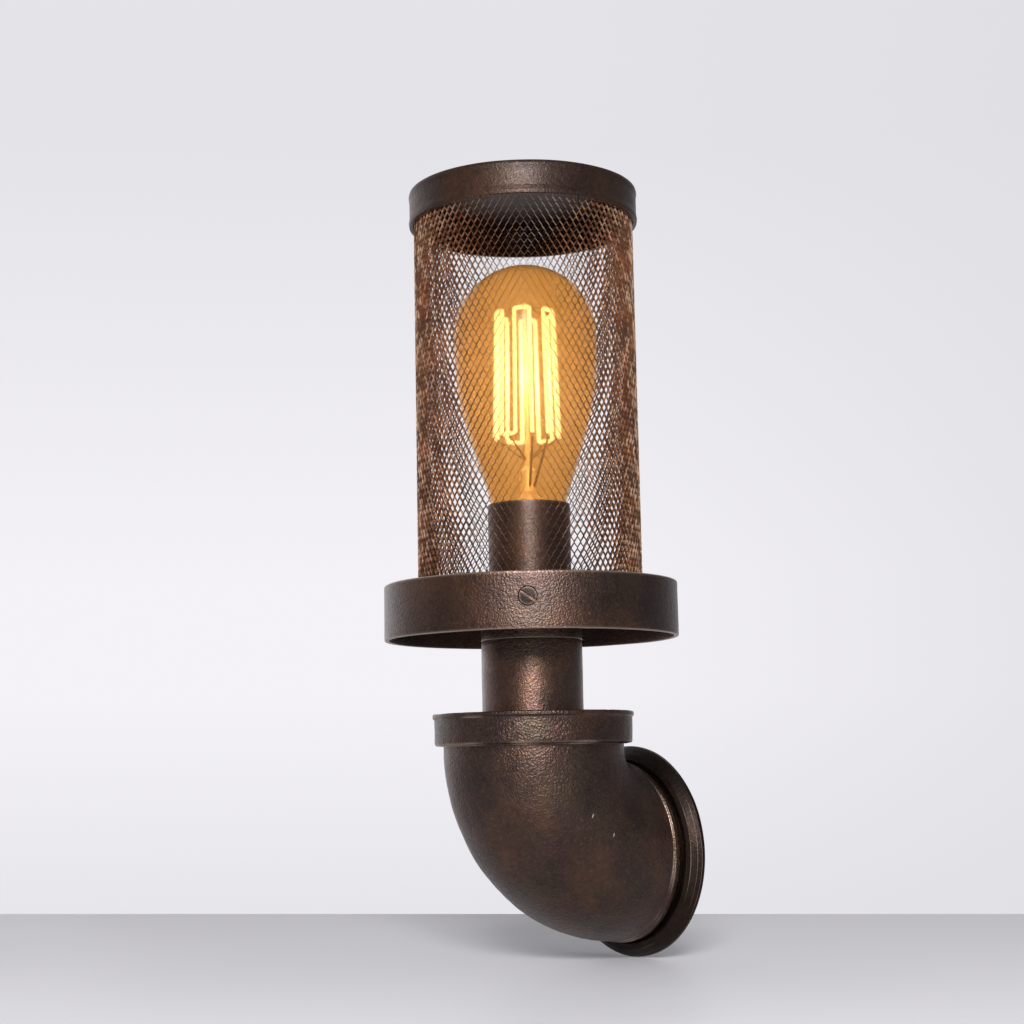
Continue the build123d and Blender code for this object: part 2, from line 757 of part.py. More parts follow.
# ---- Leads
def make_main_lead(side):
    """Lead from the terminal block through the threaded tube to a clamp screw."""
    block_top = block_rise + block_h / 2
    start_x = side * way_pitch
    in_tube = side * (lead_d / 2 + lead_side_gap)
    end_x = side * (clamp_x - clamp_d / 2 - lead_gap)
    turn_up = block_top + lead_rise
    points = [(start_x, -way_middle, block_top - way_grip), (start_x, -way_middle, turn_up)]
    points += [(in_tube, -wall_to_axis, lead_low), (in_tube, -wall_to_axis, lead_top)]
    points += [(end_x, -wall_to_axis, lead_top)]
    return lead(points, [lead_first_bend, lead_bend, lead_end_bend])


def make_earth_lead():
    """Short lead from the middle way of the block to the earth screw."""
    low = block_rise - block_h / 2
    under_head = earth_head_low() - thread_gap / 2 - lead_d / 2
    end = -earth_drop + earth_d / 2 + lead_gap
    points = [(0, -way_middle, low + way_grip), (0, -way_middle, low - lead_rise)]
    points += [(0, -under_head, end + 2 * lead_rise), (0, -under_head, end)]
    return lead(points, [lead_first_bend, lead_first_bend])


# ---- Bulb
def make_bulb_contact():
    """Solder button at the foot of the bulb."""
    edge = {contact_h / 2: [(contact_d / 2, bulb_foot)]}
    return upright * disc(contact_d, bulb_foot, bulb_foot + contact_h, bevels=edge)


def make_bulb_insulator():
    """Black glass cone between contact and screw cap."""
    low = bulb_foot + contact_h
    points = [(0, low), (insulator_low_d / 2, low), (insulator_top_d / 2, cap_shell_foot)]
    points += [(0, cap_shell_foot)]
    return upright * turned(points)


def make_bulb_cap():
    """Screw cap of the bulb, a thin cup that is open at the glass."""
    outer = cap_shell_d / 2
    inner = outer - cap_shell_wall
    cone_top = cap_shell_foot + cap_shell_cone
    floor = cone_top + cap_shell_wall
    points = [(0, cap_shell_foot), (insulator_top_d / 2, cap_shell_foot), (outer, cone_top)]
    points += [(outer, cap_shell_top), (inner, cap_shell_top), (inner, floor), (0, floor)]
    return upright * turned(points)


def glass_body(inset):
    """The bulb's solid shape from its root in the screw cap to its crown, set in by the glass."""
    wide_r = bulb_d / 2 - inset
    wide_z = bulb_foot + bulb_l - bulb_d / 2
    root_r = cap_shell_d / 2 - cap_shell_wall - thread_gap - inset
    root_z = cap_shell_top - glass_in_cap
    neck = (bulb_neck_d / 2 - inset, 0, bulb_foot + neck_rise)
    cone = (cone_d / 2 - inset, 0, bulb_foot + cone_rise)
    crown = (0, 0, wide_z + wide_r)
    halfway = math.sqrt(0.5) * wide_r
    slope = Vector(*cone) - Vector(*neck)
    outline = Polyline((0, 0, root_z), (root_r, 0, root_z), (root_r, 0, cap_shell_top), neck)
    outline += Spline(neck, cone, (wide_r, 0, wide_z), tangents=[slope, Vector(0, 0, 1)])
    outline += ThreePointArc((wide_r, 0, wide_z), (halfway, 0, wide_z + halfway), crown)
    outline += Line(crown, (0, 0, root_z))
    return revolve(make_face(outline), Axis.Z)


def make_bulb_glass():
    """Teardrop glass: narrow neck, cone, wide belly and round crown, open at the screw cap."""
    hollow = glass_body(bulb_glass_t) + disc(root_bore_d(), cap_shell_foot, cap_shell_top)
    return upright * (glass_body(0) - hollow)


def root_bore_d():
    """Bore of the glass where it sits in the screw cap."""
    return cap_shell_d - 2 * (cap_shell_wall + thread_gap + bulb_glass_t)


def make_glass_stem():
    """Flared glass mount with the rod that carries the filament."""
    low = cap_shell_top
    flare = stem_flare_d / 2
    tube = stem_tube_d / 2
    rod = stem_rod_d / 2
    top = bulb_foot + stem_top
    points = [(0, low), (flare, low), (tube, low + stem_flare_h), (tube, low + stem_tube_h)]
    points += [(rod, low + stem_tube_h + stem_pinch_h), (rod, top), (0, top)]
    return upright * turned(points)


def leg_point(leg, across, height):
    """End of a filament leg on the ring of turns at a height, "across" being the ring's diameter."""
    angle = math.radians(leg * 360 / filament_legs)
    return (across / 2 * math.cos(angle), across / 2 * math.sin(angle), height)


def make_filament():
    """One wire that runs up and down between the two rings of hooks, like a cage."""
    points = []
    for leg in range(filament_legs):
        ends = [leg_point(leg, filament_low_d, low_turns), leg_point(leg, filament_top_d, high_turns)]
        points += ends if leg % 2 == 0 else ends[::-1]
    first = Vector(*points[1]) - Vector(*points[0])
    section = Plane(origin=points[0], z_dir=first) * Rectangle(filament_wire, filament_wire)
    path = Polyline(*points)
    return upright * sweep(section, path, transition=Transition.RIGHT)


def support(leg, across, hook_z, root_z):
    """Hook from the glass rod to the middle of a turn, halfway between two legs."""
    x, y, z = leg_point(leg, across * math.cos(math.pi / filament_legs), hook_z)
    shrink = (stem_rod_d / 2 + support_wire / 2 + support_gap) / math.hypot(x, y)
    return upright * bar((x * shrink, y * shrink, root_z), (x, y, z), support_wire)


def make_support_wires():
    """Hooks that spread from the glass rod to the filament's turns, and two lead in wires."""
    solids = []
    reach = math.sqrt(0.5) * (filament_wire + support_wire) + support_gap
    high_root = bulb_foot + stem_top - support_drop
    low_root = low_turns - support_rise
    for pair in range(filament_legs // 2):
        solids.append(support(2 * pair + 0.5, filament_top_d, high_turns - reach, high_root))
    for pair in range(filament_legs // 2 - 1):
        solids.append(support(2 * pair + 1.5, filament_low_d, low_turns + reach, low_root))
    lead_root = cap_shell_top + stem_flare_h + support_drop
    for leg in (0, filament_legs - 1):
        x, y, z = leg_point(leg, filament_low_d, low_turns - reach)
        shrink = (stem_tube_d / 2 + support_wire / 2 + support_gap) / math.hypot(x, y)
        solids.append(upright * bar((x * shrink, y * shrink, lead_root), (x, y, z), lead_in_d))
    return Compound(children=solids)


parts = {
    "wall_bracket": make_wall_bracket(),
    "cable_grommet": make_grommet(),
    "earth_screw": make_earth_screw(),
    "terminal_block": make_terminal_block(),
    "terminal_screws": make_terminal_screws(),
    "live_lead": make_main_lead(-1),
    "neutral_lead": make_main_lead(1),
    "earth_lead": make_earth_lead(),
    "wall_flange": make_flange(),
    "elbow": make_elbow(),
    "elbow_screws": make_elbow_screws(),
    "reducing_bush": make_bush(),
    "collar_screw": make_collar_screw(),
    "stem_pipe": make_pipe(),
    "neck_sleeve": make_neck_sleeve(),
    "threaded_tube": make_threaded_tube(),
    "lower_washer": make_lower_washer(),
    "lower_nut": make_lower_nut(),
    "carrier_plate": make_carrier(),
    "upper_nut": make_upper_nut(),
    "holder_sleeve": make_holder_sleeve(),
    "holder_body": make_holder_body(),
    "screw_shell": make_screw_shell(),
    "centre_contact": make_centre_contact(),
    "clamp_screws": make_clamp_screws(),
    "guard_ring": make_guard_ring(),
    "mesh_guard": make_mesh_guard(),
    "top_cap": make_top_cap(),
    "set_screw_a": make_set_screw("a"),
    "set_screw_b": make_set_screw("b"),
    "set_screw_c": make_set_screw("c"),
    "bulb_contact": make_bulb_contact(),
    "bulb_insulator": make_bulb_insulator(),
    "bulb_cap": make_bulb_cap(),
    "bulb_glass": make_bulb_glass(),
    "glass_stem": make_glass_stem(),
    "filament": make_filament(),
    "support_wires": make_support_wires(),
}

os.makedirs("parts", exist_ok=True)
for name, shape in parts.items():
    export_step(shape, f"parts/{name}.step")
    box = shape.bounding_box()
    size = box.size
    print(f"{name:16s} {size.X:7.1f} {size.Y:7.1f} {size.Z:7.1f}  z {box.min.Z:6.1f} to {box.max.Z:6.1f}")
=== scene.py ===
# %% [markdown]
# # Industrial pipe wall light
# The light is a wide pipe elbow on a round wall flange. It carries a short pipe, a drum shaped
# guard ring, a tall diamond mesh guard with a lid, and a teardrop filament bulb. All of it but
# the bulb is painted in oil rubbed bronze.
# The construction is finished already: every piece has its size and place in the frame. This
# lesson dresses it. What shows gets a finer mesh with rounded edges, and every surface gets a
# finish that is worked out by nodes.

# %% The frame
import json
import math

import bmesh
import bpy
from mathutils import Matrix, Vector, noise


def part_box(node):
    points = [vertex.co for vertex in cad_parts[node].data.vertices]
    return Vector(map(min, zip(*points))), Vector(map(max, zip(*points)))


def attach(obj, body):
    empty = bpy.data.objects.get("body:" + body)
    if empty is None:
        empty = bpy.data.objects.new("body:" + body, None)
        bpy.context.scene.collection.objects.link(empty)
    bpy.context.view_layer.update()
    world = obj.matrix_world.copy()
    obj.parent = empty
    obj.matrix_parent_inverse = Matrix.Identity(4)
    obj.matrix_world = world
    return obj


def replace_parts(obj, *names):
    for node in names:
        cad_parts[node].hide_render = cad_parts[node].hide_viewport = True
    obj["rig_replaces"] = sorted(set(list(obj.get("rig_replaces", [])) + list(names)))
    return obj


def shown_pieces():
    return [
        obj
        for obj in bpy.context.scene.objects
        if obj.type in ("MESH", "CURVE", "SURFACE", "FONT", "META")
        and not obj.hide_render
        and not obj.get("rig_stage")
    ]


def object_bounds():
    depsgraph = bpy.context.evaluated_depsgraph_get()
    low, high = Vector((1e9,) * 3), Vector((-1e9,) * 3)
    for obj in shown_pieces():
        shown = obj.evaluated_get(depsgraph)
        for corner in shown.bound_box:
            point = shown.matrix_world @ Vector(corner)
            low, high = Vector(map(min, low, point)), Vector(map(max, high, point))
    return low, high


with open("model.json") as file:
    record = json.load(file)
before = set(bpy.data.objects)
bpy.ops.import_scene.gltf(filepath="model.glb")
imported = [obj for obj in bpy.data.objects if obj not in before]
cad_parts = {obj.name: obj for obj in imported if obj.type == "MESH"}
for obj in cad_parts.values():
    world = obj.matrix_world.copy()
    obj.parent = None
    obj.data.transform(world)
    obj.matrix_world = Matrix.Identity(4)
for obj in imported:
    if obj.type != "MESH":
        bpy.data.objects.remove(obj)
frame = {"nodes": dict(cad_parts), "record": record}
cad_low, cad_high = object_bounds()
MM = 0.001
print("size in mm", [round((h - l) / MM, 1) for l, h in zip(cad_low, cad_high)])

# %% [markdown]
# ## Where things are
# Nearly everything here is turned about one of two axes: the upright axis of pipe, guard and
# bulb, and the axis that runs out of the wall through flange and elbow. The elbow joins them
# with a quarter bend. Measuring these once from the frame's own boxes keeps each new piece where
# the solid is. Lengths that the frame doesn't give are written in millimetres.

# %% The two axes
ring_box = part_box("guard_ring")
lamp_y = (ring_box[0].y + ring_box[1].y) / 2
flange_back = -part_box("wall_flange")[1].y
bend_r = 46.0 * MM
bend_start = -lamp_y - bend_r
print("lamp axis", round(-lamp_y / MM, 2), "mm off the wall, bend starts at", round(bend_start / MM, 2))

# %% [markdown]
# ## The camera
# The picture is taken from the front right, level with the elbow, with the camera tipped up.
# Camera place, heading, tilt and lens come from fitting a pinhole camera to the outlines of the
# turned parts, whose ellipses give away the viewing angle.

# %% Camera
view_from = math.radians(51.06)
view_heading = view_from + math.radians(0.52)
view_pitch = math.radians(7.86)
view_roll = math.radians(-1.13)
view_distance = 826.5 * MM
view_height = 36.1 * MM
picture = 1024  # pixels each way

forward = Vector((-math.sin(view_heading), math.cos(view_heading), math.tan(view_pitch))).normalized()
level = Vector((math.cos(view_heading), math.sin(view_heading), 0))
upward = level.cross(forward)
view_right = math.cos(view_roll) * level + math.sin(view_roll) * upward
view_up = math.cos(view_roll) * upward - math.sin(view_roll) * level

camera_data = bpy.data.cameras.new("camera")
camera_data.sensor_width = 36.0
camera_data.lens = 66.17
camera_data.clip_start = 0.02
camera_data.clip_end = 20.0
camera = bpy.data.objects.new("camera", camera_data)
bpy.context.scene.collection.objects.link(camera)
turn = Matrix((view_right, view_up, -forward)).transposed().to_4x4()
eye = Vector((
    view_distance * math.sin(view_from),
    lamp_y - view_distance * math.cos(view_from),
    view_height,
))
camera.matrix_world = Matrix.Translation(eye) @ turn
bpy.context.scene.camera = camera
bpy.context.scene.view_settings.view_transform = "Standard"
print("camera at", [round(v, 3) for v in eye])


def look_through(x, y):
    """Direction from the camera through a point of the picture."""
    reach = camera_data.lens / camera_data.sensor_width * picture
    return (forward * reach + view_right * (x - picture / 2) - view_up * (y - picture / 2)).normalized()


# %% [markdown]
# ## Floor
# The light stands on the lowest point of its flange, so that is the floor's height. The floor is
# a plain painted board, which keeps the shadow, and ends a little behind the light. Its far edge
# runs level across the picture: it is found by following two rays of the camera down to the
# floor. Beyond it there is only the world, as a pale studio wall that is far away, so the light
# can be looked at from behind too.

# %% Floor
floor_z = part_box("wall_flange")[0].z - 0.05 * MM
horizon = 914  # pixels from the top
board_half = 1.5
board_deep = 1.1


def on_floor(x, y):
    """Point of the floor that shows at a point of the picture."""
    ray = look_through(x, y)
    return eye + ray * ((floor_z - eye.z) / ray.z)


edge_left = on_floor(0, horizon)
edge_right = on_floor(picture, horizon)
along = (edge_right - edge_left).normalized()
middle = (edge_left + edge_right) / 2
nearer = Vector((along.y, -along.x, 0))
far_left = middle - along * board_half
far_right = middle + along * board_half
floor_mesh = bpy.data.meshes.new("floor")
near_right = far_right + nearer * board_deep
near_left = far_left + nearer * board_deep
floor_corners = [tuple(c) for c in (far_left, far_right, near_right, near_left)]
floor_mesh.from_pydata(floor_corners, [], [(0, 1, 2, 3)])
floor = bpy.data.objects.new("floor", floor_mesh)
bpy.context.scene.collection.objects.link(floor)
floor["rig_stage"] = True
print("floor ends", round((middle - Vector((0, lamp_y, floor_z))).length / MM), "mm behind the lamp axis")

# %% [markdown]
# ## A workbench for nodes
# A finish is a small graph: a pattern, a ramp that says how much of it shows, and a shader.
# These helpers keep each finish short. Patterns are measured in the piece's own coordinates, in
# millimetres, so that grain keeps its size on every piece and moves with it.


# %% Helpers for finishes
def srgb(r, g, b):
    """A colour as a picture shows it, from 0 to 255, as the light that shaders take."""
    shares = [c / 255 for c in (r, g, b)]
    dark_end = 10 / 255
    light = [c / 12.92 if c < dark_end else ((c + 0.055) / 1.055) ** 2.4 for c in shares]
    return (*light, 1)


class Bench:
    """A node tree with short ways to add its nodes."""

    def __init__(self, tree, place):
        self.nodes = tree.nodes
        self.links = tree.links
        self.place = self.nodes.new("ShaderNodeTexCoord").outputs[place]

    def add(self, kind, **settings):
        """A node of a kind, with its settings."""
        made = self.nodes.new("ShaderNode" + kind)
        for name, value in settings.items():
            setattr(made, name, value)
        return made

    def speckle(self, size_mm, detail=3.0, seed=0.0, stretch=(1, 1, 1)):
        """Cloudy pattern from 0 to 1 whose lumps have about that size."""
        shift = self.add("Mapping")
        shift.inputs["Location"].default_value = (seed, seed * 0.7, -seed)
        shift.inputs["Scale"].default_value = stretch
        self.links.new(self.place, shift.inputs["Vector"])
        cloud = self.add("TexNoise")
        cloud.inputs["Scale"].default_value = 1 / (size_mm * MM)
        cloud.inputs["Detail"].default_value = detail
        self.links.new(shift.outputs["Vector"], cloud.inputs["Vector"])
        return cloud.outputs["Fac"]

    def pits(self, size_mm):
        """Rounded cells of about that size, as in hammered or sprayed paint."""
        cells = self.add("TexVoronoi", feature="SMOOTH_F1")
        cells.inputs["Scale"].default_value = 1 / (size_mm * MM)
        cells.inputs["Smoothness"].default_value = 0.6
        self.links.new(self.place, cells.inputs["Vector"])
        return cells.outputs["Distance"]

    def ramp(self, pattern, low, high, start=0.0, end=1.0):
        """Pattern from low to high stretched to run from start to end."""
        span = self.add("MapRange")
        span.clamp = True
        span.inputs["From Min"].default_value = low
        span.inputs["From Max"].default_value = high
        span.inputs["To Min"].default_value = start
        span.inputs["To Max"].default_value = end
        self.links.new(pattern, span.inputs["Value"])
        return span.outputs["Result"]

    def joined(self, first, second, operation="MULTIPLY"):
        """Two patterns, or a pattern and a number, joined by a product, sum or the like."""
        step = self.add("Math", operation=operation)
        self.links.new(first, step.inputs[0])
        if isinstance(second, (int, float)):
            step.inputs[1].default_value = second
        else:
            self.links.new(second, step.inputs[1])
        return step.outputs["Value"]

    def tint(self, amount, below, above):
        """Colour that goes from below to above with the amount."""
        mix = self.add("Mix", data_type="RGBA")
        self.links.new(amount, mix.inputs["Factor"])
        for socket, colour in ((mix.inputs["A"], below), (mix.inputs["B"], above)):
            if isinstance(colour, tuple):
                socket.default_value = colour
            else:
                self.links.new(colour, socket)
        return mix.outputs["Result"]

    def attribute(self, name):
        """A number that the mesh carries at each point."""
        return self.add("Attribute", attribute_name=name).outputs["Fac"]

    def chip(self, centre, lean):
        """Small ragged spot round a point, longer along the lean, where the paint is gone."""
        notch = 0.6 * MM
        half_wide = 0.27 * MM
        drawn_out = 0.97
        ragged = self.add("TexNoise")
        ragged.inputs["Scale"].default_value = 1 / notch
        self.links.new(self.place, ragged.inputs["Vector"])
        away = self.add("VectorMath", operation="SUBTRACT")
        away.inputs[1].default_value = centre
        self.links.new(self.place, away.inputs[0])
        along = self.add("VectorMath", operation="DOT_PRODUCT")
        along.inputs[1].default_value = lean
        self.links.new(away.outputs["Vector"], along.inputs[0])
        length = self.add("VectorMath", operation="LENGTH")
        self.links.new(away.outputs["Vector"], length.inputs[0])
        stretch = self.joined(self.joined(along.outputs["Value"], along.outputs["Value"]), drawn_out)
        squared = self.joined(length.outputs["Value"], length.outputs["Value"])
        narrow = self.joined(self.joined(squared, stretch, "SUBTRACT"), 1 / half_wide ** 2)
        return self.ramp(self.joined(narrow, ragged.outputs["Fac"]), 0.65, 0.35)

    def bump(self, height, depth_mm, after=None):
        """Relief from a pattern, whose full height is the given depth."""
        relief = self.add("Bump")
        relief.inputs["Distance"].default_value = depth_mm * MM
        self.links.new(height, relief.inputs["Height"])
        if after:
            self.links.new(after, relief.inputs["Normal"])
        return relief.outputs["Normal"]

    def looked_at(self):
        """1 for what the camera, gloss and glass see, and 0 for what only lights."""
        rays = self.add("LightPath")
        seen = self.joined(rays.outputs["Is Camera Ray"], rays.outputs["Is Glossy Ray"], "MAXIMUM")
        return self.joined(seen, rays.outputs["Is Transmission Ray"], "MAXIMUM")

    def blend(self, amount, first, second, into=None):
        """Shader that goes from the first to the second, linked into a socket if one is given."""
        either = self.add("MixShader")
        if isinstance(amount, float):
            either.inputs[0].default_value = amount
        else:
            self.links.new(amount, either.inputs[0])
        self.links.new(first, either.inputs[1])
        self.links.new(second, either.inputs[2])
        if into:
            self.links.new(either.outputs[0], into)
        return either.outputs[0]


class Finish(Bench):
    """One material with its shader."""

    def __init__(self, name):
        self.material = bpy.data.materials.new(name)
        self.material.use_nodes = True
        super().__init__(self.material.node_tree, "Object")
        self.shader = self.nodes["Principled BSDF"]
        self.output = self.nodes["Material Output"]

    def set(self, **values):
        """Fixed values of the shader, by socket name with _ for a space."""
        for name, value in values.items():
            self.shader.inputs[name.replace("_", " ")].default_value = value

    def plug(self, **sockets):
        """Link patterns and colours into the shader, by socket name with _ for a space."""
        for name, output in sockets.items():
            self.links.new(output, self.shader.inputs[name.replace("_", " ")])


print("bench ready")

# %% [markdown]
# ## Studio wall and floor paint
# The wall is a near white with a slight lavender cast, lightest at half height and a little
# darker towards the top, the floor and the right. It is the world: the camera, gloss and glass
# see its colour as it is written, while it lights the pieces more weakly. Gloss also sees that the
# room is darker on the camera's side and far to the right, which keeps the bronze deep. The floor
# has almost the same pale paint with a dull satin gloss. It looks greyer than the wall, because
# the lamps reach it at a slant.

# %% Studio wall and floor paint
world = bpy.data.worlds.new("studio")
world.use_nodes = True
bpy.context.scene.world = world
studio = Bench(world.node_tree, "Generated")
lighting = studio.nodes["Background"]
lighting.inputs["Color"].default_value = (0.97, 0.97, 1.0, 1)
lighting.inputs["Strength"].default_value = 0.25
ways = studio.add("SeparateXYZ")
studio.links.new(studio.place, ways.inputs[0])
to_right = studio.add("VectorMath", operation="DOT_PRODUCT")
studio.links.new(studio.place, to_right.inputs[0])
to_right.inputs[1].default_value = level
pale = srgb(244, 242, 247)
pale = studio.tint(studio.ramp(ways.outputs["Z"], 0.10, 0.32), pale, srgb(228, 227, 232))
pale = studio.tint(studio.ramp(ways.outputs["Z"], 0.04, -0.07), pale, srgb(230, 229, 234))
pale = studio.tint(studio.ramp(to_right.outputs["Value"], 0.02, 0.28, 0.0, 0.7), pale, srgb(222, 221, 226))
to_wall = studio.add("VectorMath", operation="DOT_PRODUCT")
studio.links.new(studio.place, to_wall.inputs[0])
to_wall.inputs[1].default_value = (-math.sin(view_heading), math.cos(view_heading), 0)
room = srgb(136, 135, 140)
in_gloss = studio.tint(studio.ramp(to_wall.outputs["Value"], -0.1, 0.35), room, pale)
in_gloss = studio.tint(studio.ramp(to_right.outputs["Value"], 0.3, 0.7), in_gloss, room)
glossy = studio.add("LightPath").outputs["Is Glossy Ray"]
wall = studio.add("Background")
studio.links.new(studio.tint(glossy, pale, in_gloss), wall.inputs["Color"])
world_output = studio.nodes["World Output"].inputs["Surface"]
studio.blend(studio.looked_at(), lighting.outputs[0], wall.outputs[0], world_output)

floor_finish = Finish("floor_finish")
floor_cloud = floor_finish.speckle(60, detail=2)
floor_finish.plug(Base_Color=floor_finish.tint(floor_cloud, srgb(240, 239, 244), srgb(243, 242, 247)))
floor_finish.plug(Roughness=floor_finish.ramp(floor_cloud, 0.3, 0.7, 0.44, 0.50))
floor_finish.set(Specular_IOR_Level=0.1)
floor.data.materials.append(floor_finish.material)
print("studio painted")

# %% [markdown]
# ## Lamps
# The front of each round part shows one broad soft highlight in its middle, so the main lamp
# stands behind the camera and above it. A weak one lights the left edges.

# %% Lamps
lamp_target = Vector((0, lamp_y, 120 * MM))


def soft_lamp(name, turn_degrees, height_mm, distance, size, watts):
    """A square soft lamp that looks at the guard, turned from straight ahead to the right."""
    data = bpy.data.lights.new(name, "AREA")
    data.shape = "SQUARE"
    data.size = size
    data.energy = watts
    lamp = bpy.data.objects.new(name, data)
    bpy.context.scene.collection.objects.link(lamp)
    turned_by = math.radians(turn_degrees)
    place = lamp_target + distance * Vector((math.sin(turned_by), -math.cos(turned_by), 0))
    place.z = height_mm * MM
    lamp.location = place
    lamp.rotation_euler = (lamp_target - place).to_track_quat("-Z", "Y").to_euler()


soft_lamp("front_lamp", turn_degrees=51, height_mm=620, distance=1.5, size=0.50, watts=27.5)
soft_lamp("left_lamp", turn_degrees=-95, height_mm=500, distance=1.6, size=0.9, watts=1.0)

# %% [markdown]
# ## Turning a piece
# Most pieces here came off a lathe, or could have: an outline of radius and height, carried
# round an axis. Real edges are never sharp, so each corner of the outline carries its own small
# rounding, and the points of a rounding are marked as worn, for the finish to lighten. A long
# straight stretch is divided too, so that it can be bent along the elbow and dented a little.


# %% Outlines with rounded corners
def rounded(corners, steps=4):
    """Points (radius, height, wear) of a closed outline from corners (radius, height, rounding)."""
    points = []
    count = len(corners)
    for i, (r, h, rounding) in enumerate(corners):
        here = Vector((r, h))
        back = Vector(corners[i - 1][:2]) - here
        on = Vector(corners[(i + 1) % count][:2]) - here
        if rounding == 0 or back.length == 0 or on.length == 0:
            points.append((r, h, 0.0))
            continue
        half = back.angle(on) / 2
        cut = min(rounding / math.tan(half), 0.49 * back.length, 0.49 * on.length)
        first = here + back.normalized() * cut
        last = here + on.normalized() * cut
        for step in range(steps + 1):
            t = step / steps
            point = first * (1 - t) ** 2 + here * 2 * t * (1 - t) + last * t ** 2
            points.append((point.x, point.y, 1 - abs(2 * t - 1) * 0.6))
    return points


def divided(points, longest):
    """The same closed outline with no stretch longer than the given length in mm."""
    dense = []
    for i, point in enumerate(points):
        after = points[(i + 1) % len(points)]
        gap = math.dist(point[:2], after[:2])
        parts = max(1, math.ceil(gap / longest))
        for part in range(parts):
            t = part / parts
            wear_and_light = point[2] if part == 0 else 0.0
            dense.append((point[0] * (1 - t) + after[0] * t, point[1] * (1 - t) + after[1] * t, wear_and_light))
    return dense


print("corner of 1 mm gives", len(rounded([(0, 0, 0), (5, 0, 1), (5, 5, 0)])) - 2, "points")


# %% Ways to place a point of an outline
def upright(angle, r, h):
    """About the lamp's upright axis."""
    return Vector((r * math.cos(angle), lamp_y + r * math.sin(angle), h))


def out_of_wall(angle, r, h):
    """About the wall's axis, with h as the distance off the wall."""
    return Vector((r * math.cos(angle), -h, r * math.sin(angle)))


def along_elbow(angle, r, h):
    """About the elbow's centre line, with h as the way along it from the wall."""
    across = Vector((1, 0, 0))
    bend_l = bend_r * math.pi / 2
    if h <= bend_start:
        centre = Vector((0, -h, 0))
        inner = Vector((0, 0, 1))
    elif h >= bend_start + bend_l:
        centre = Vector((0, lamp_y, bend_r + h - bend_start - bend_l))
        inner = Vector((0, 1, 0))
    else:
        bent = (h - bend_start) / bend_r
        centre = Vector((0, -bend_start - bend_r * math.sin(bent), bend_r * (1 - math.cos(bent))))
        inner = Vector((0, math.sin(bent), math.cos(bent)))
    return centre + r * (math.cos(angle) * across + math.sin(angle) * inner)


mouth = along_elbow(0, 0, bend_start + bend_r * math.pi / 2)
print("end of the bend", [round(v / MM, 2) for v in mouth])


# %% Meshes from outlines
def finish_mesh(name, bm, sharp_degrees=35):
    """Object from a bmesh, smooth but for edges sharper than the given angle."""
    bmesh.ops.recalc_face_normals(bm, faces=bm.faces)
    mesh = bpy.data.meshes.new(name)
    bm.to_mesh(mesh)
    bm.free()
    mesh.shade_smooth()
    mesh.set_sharp_from_angle(angle=math.radians(sharp_degrees))
    piece = bpy.data.objects.new(name, mesh)
    bpy.context.scene.collection.objects.link(piece)
    return piece


def turned(name, points, place=upright, around=192, sharp_degrees=35):
    """Carry a closed outline of (radius, height, mark) points in mm round an axis; the mark stands for
    rubbing and for painted light.
    """
    bm = bmesh.new()
    wear_and_light_layer = bm.verts.layers.float.new("wear_and_light")
    rows = []
    for r, h, wear_and_light in points:
        on_axis = r < 1e-6
        row = []
        for k in range(1 if on_axis else around):
            vert = bm.verts.new(place(2 * math.pi * k / around, r * MM, h * MM))
            vert[wear_and_light_layer] = wear_and_light
            row.append(vert)
        rows.append(row)
    for i, low in enumerate(rows):
        high = rows[(i + 1) % len(rows)]
        for k in range(around):
            after = k + 1
            below = [low[k % len(low)], low[after % len(low)]]
            above = [high[after % len(high)], high[k % len(high)]]
            corners = list(dict.fromkeys(below + above))
            if len(corners) > 2:
                bm.faces.new(corners)
    return finish_mesh(name, bm, sharp_degrees)


def dent(piece, size_mm, depth_mm, seed=0.0):
    """Push the points in by a soft noise, as a casting or a pressing has it, and never out."""
    mesh = piece.data
    normals = [v.normal.copy() for v in mesh.vertices]
    shift = Vector((seed, seed * 2, -seed))
    for vert, normal in zip(mesh.vertices, normals):
        wave = 0.5 - noise.noise(vert.co / (size_mm * MM) + shift)
        vert.co -= normal * max(0.0, wave) * depth_mm * MM
    mesh.update()


def vary_wear_and_light(piece, patch_mm=7.0, most=1.0):
    """Let the marks for rubbing and painted light come and go along the edges instead of running on evenly.
    """
    for vert, mark in zip(piece.data.vertices, piece.data.attributes["wear_and_light"].data):
        mark.value *= most * max(0.0, 0.55 + noise.noise(vert.co / (patch_mm * MM)) * 1.3)


print("lathe ready")
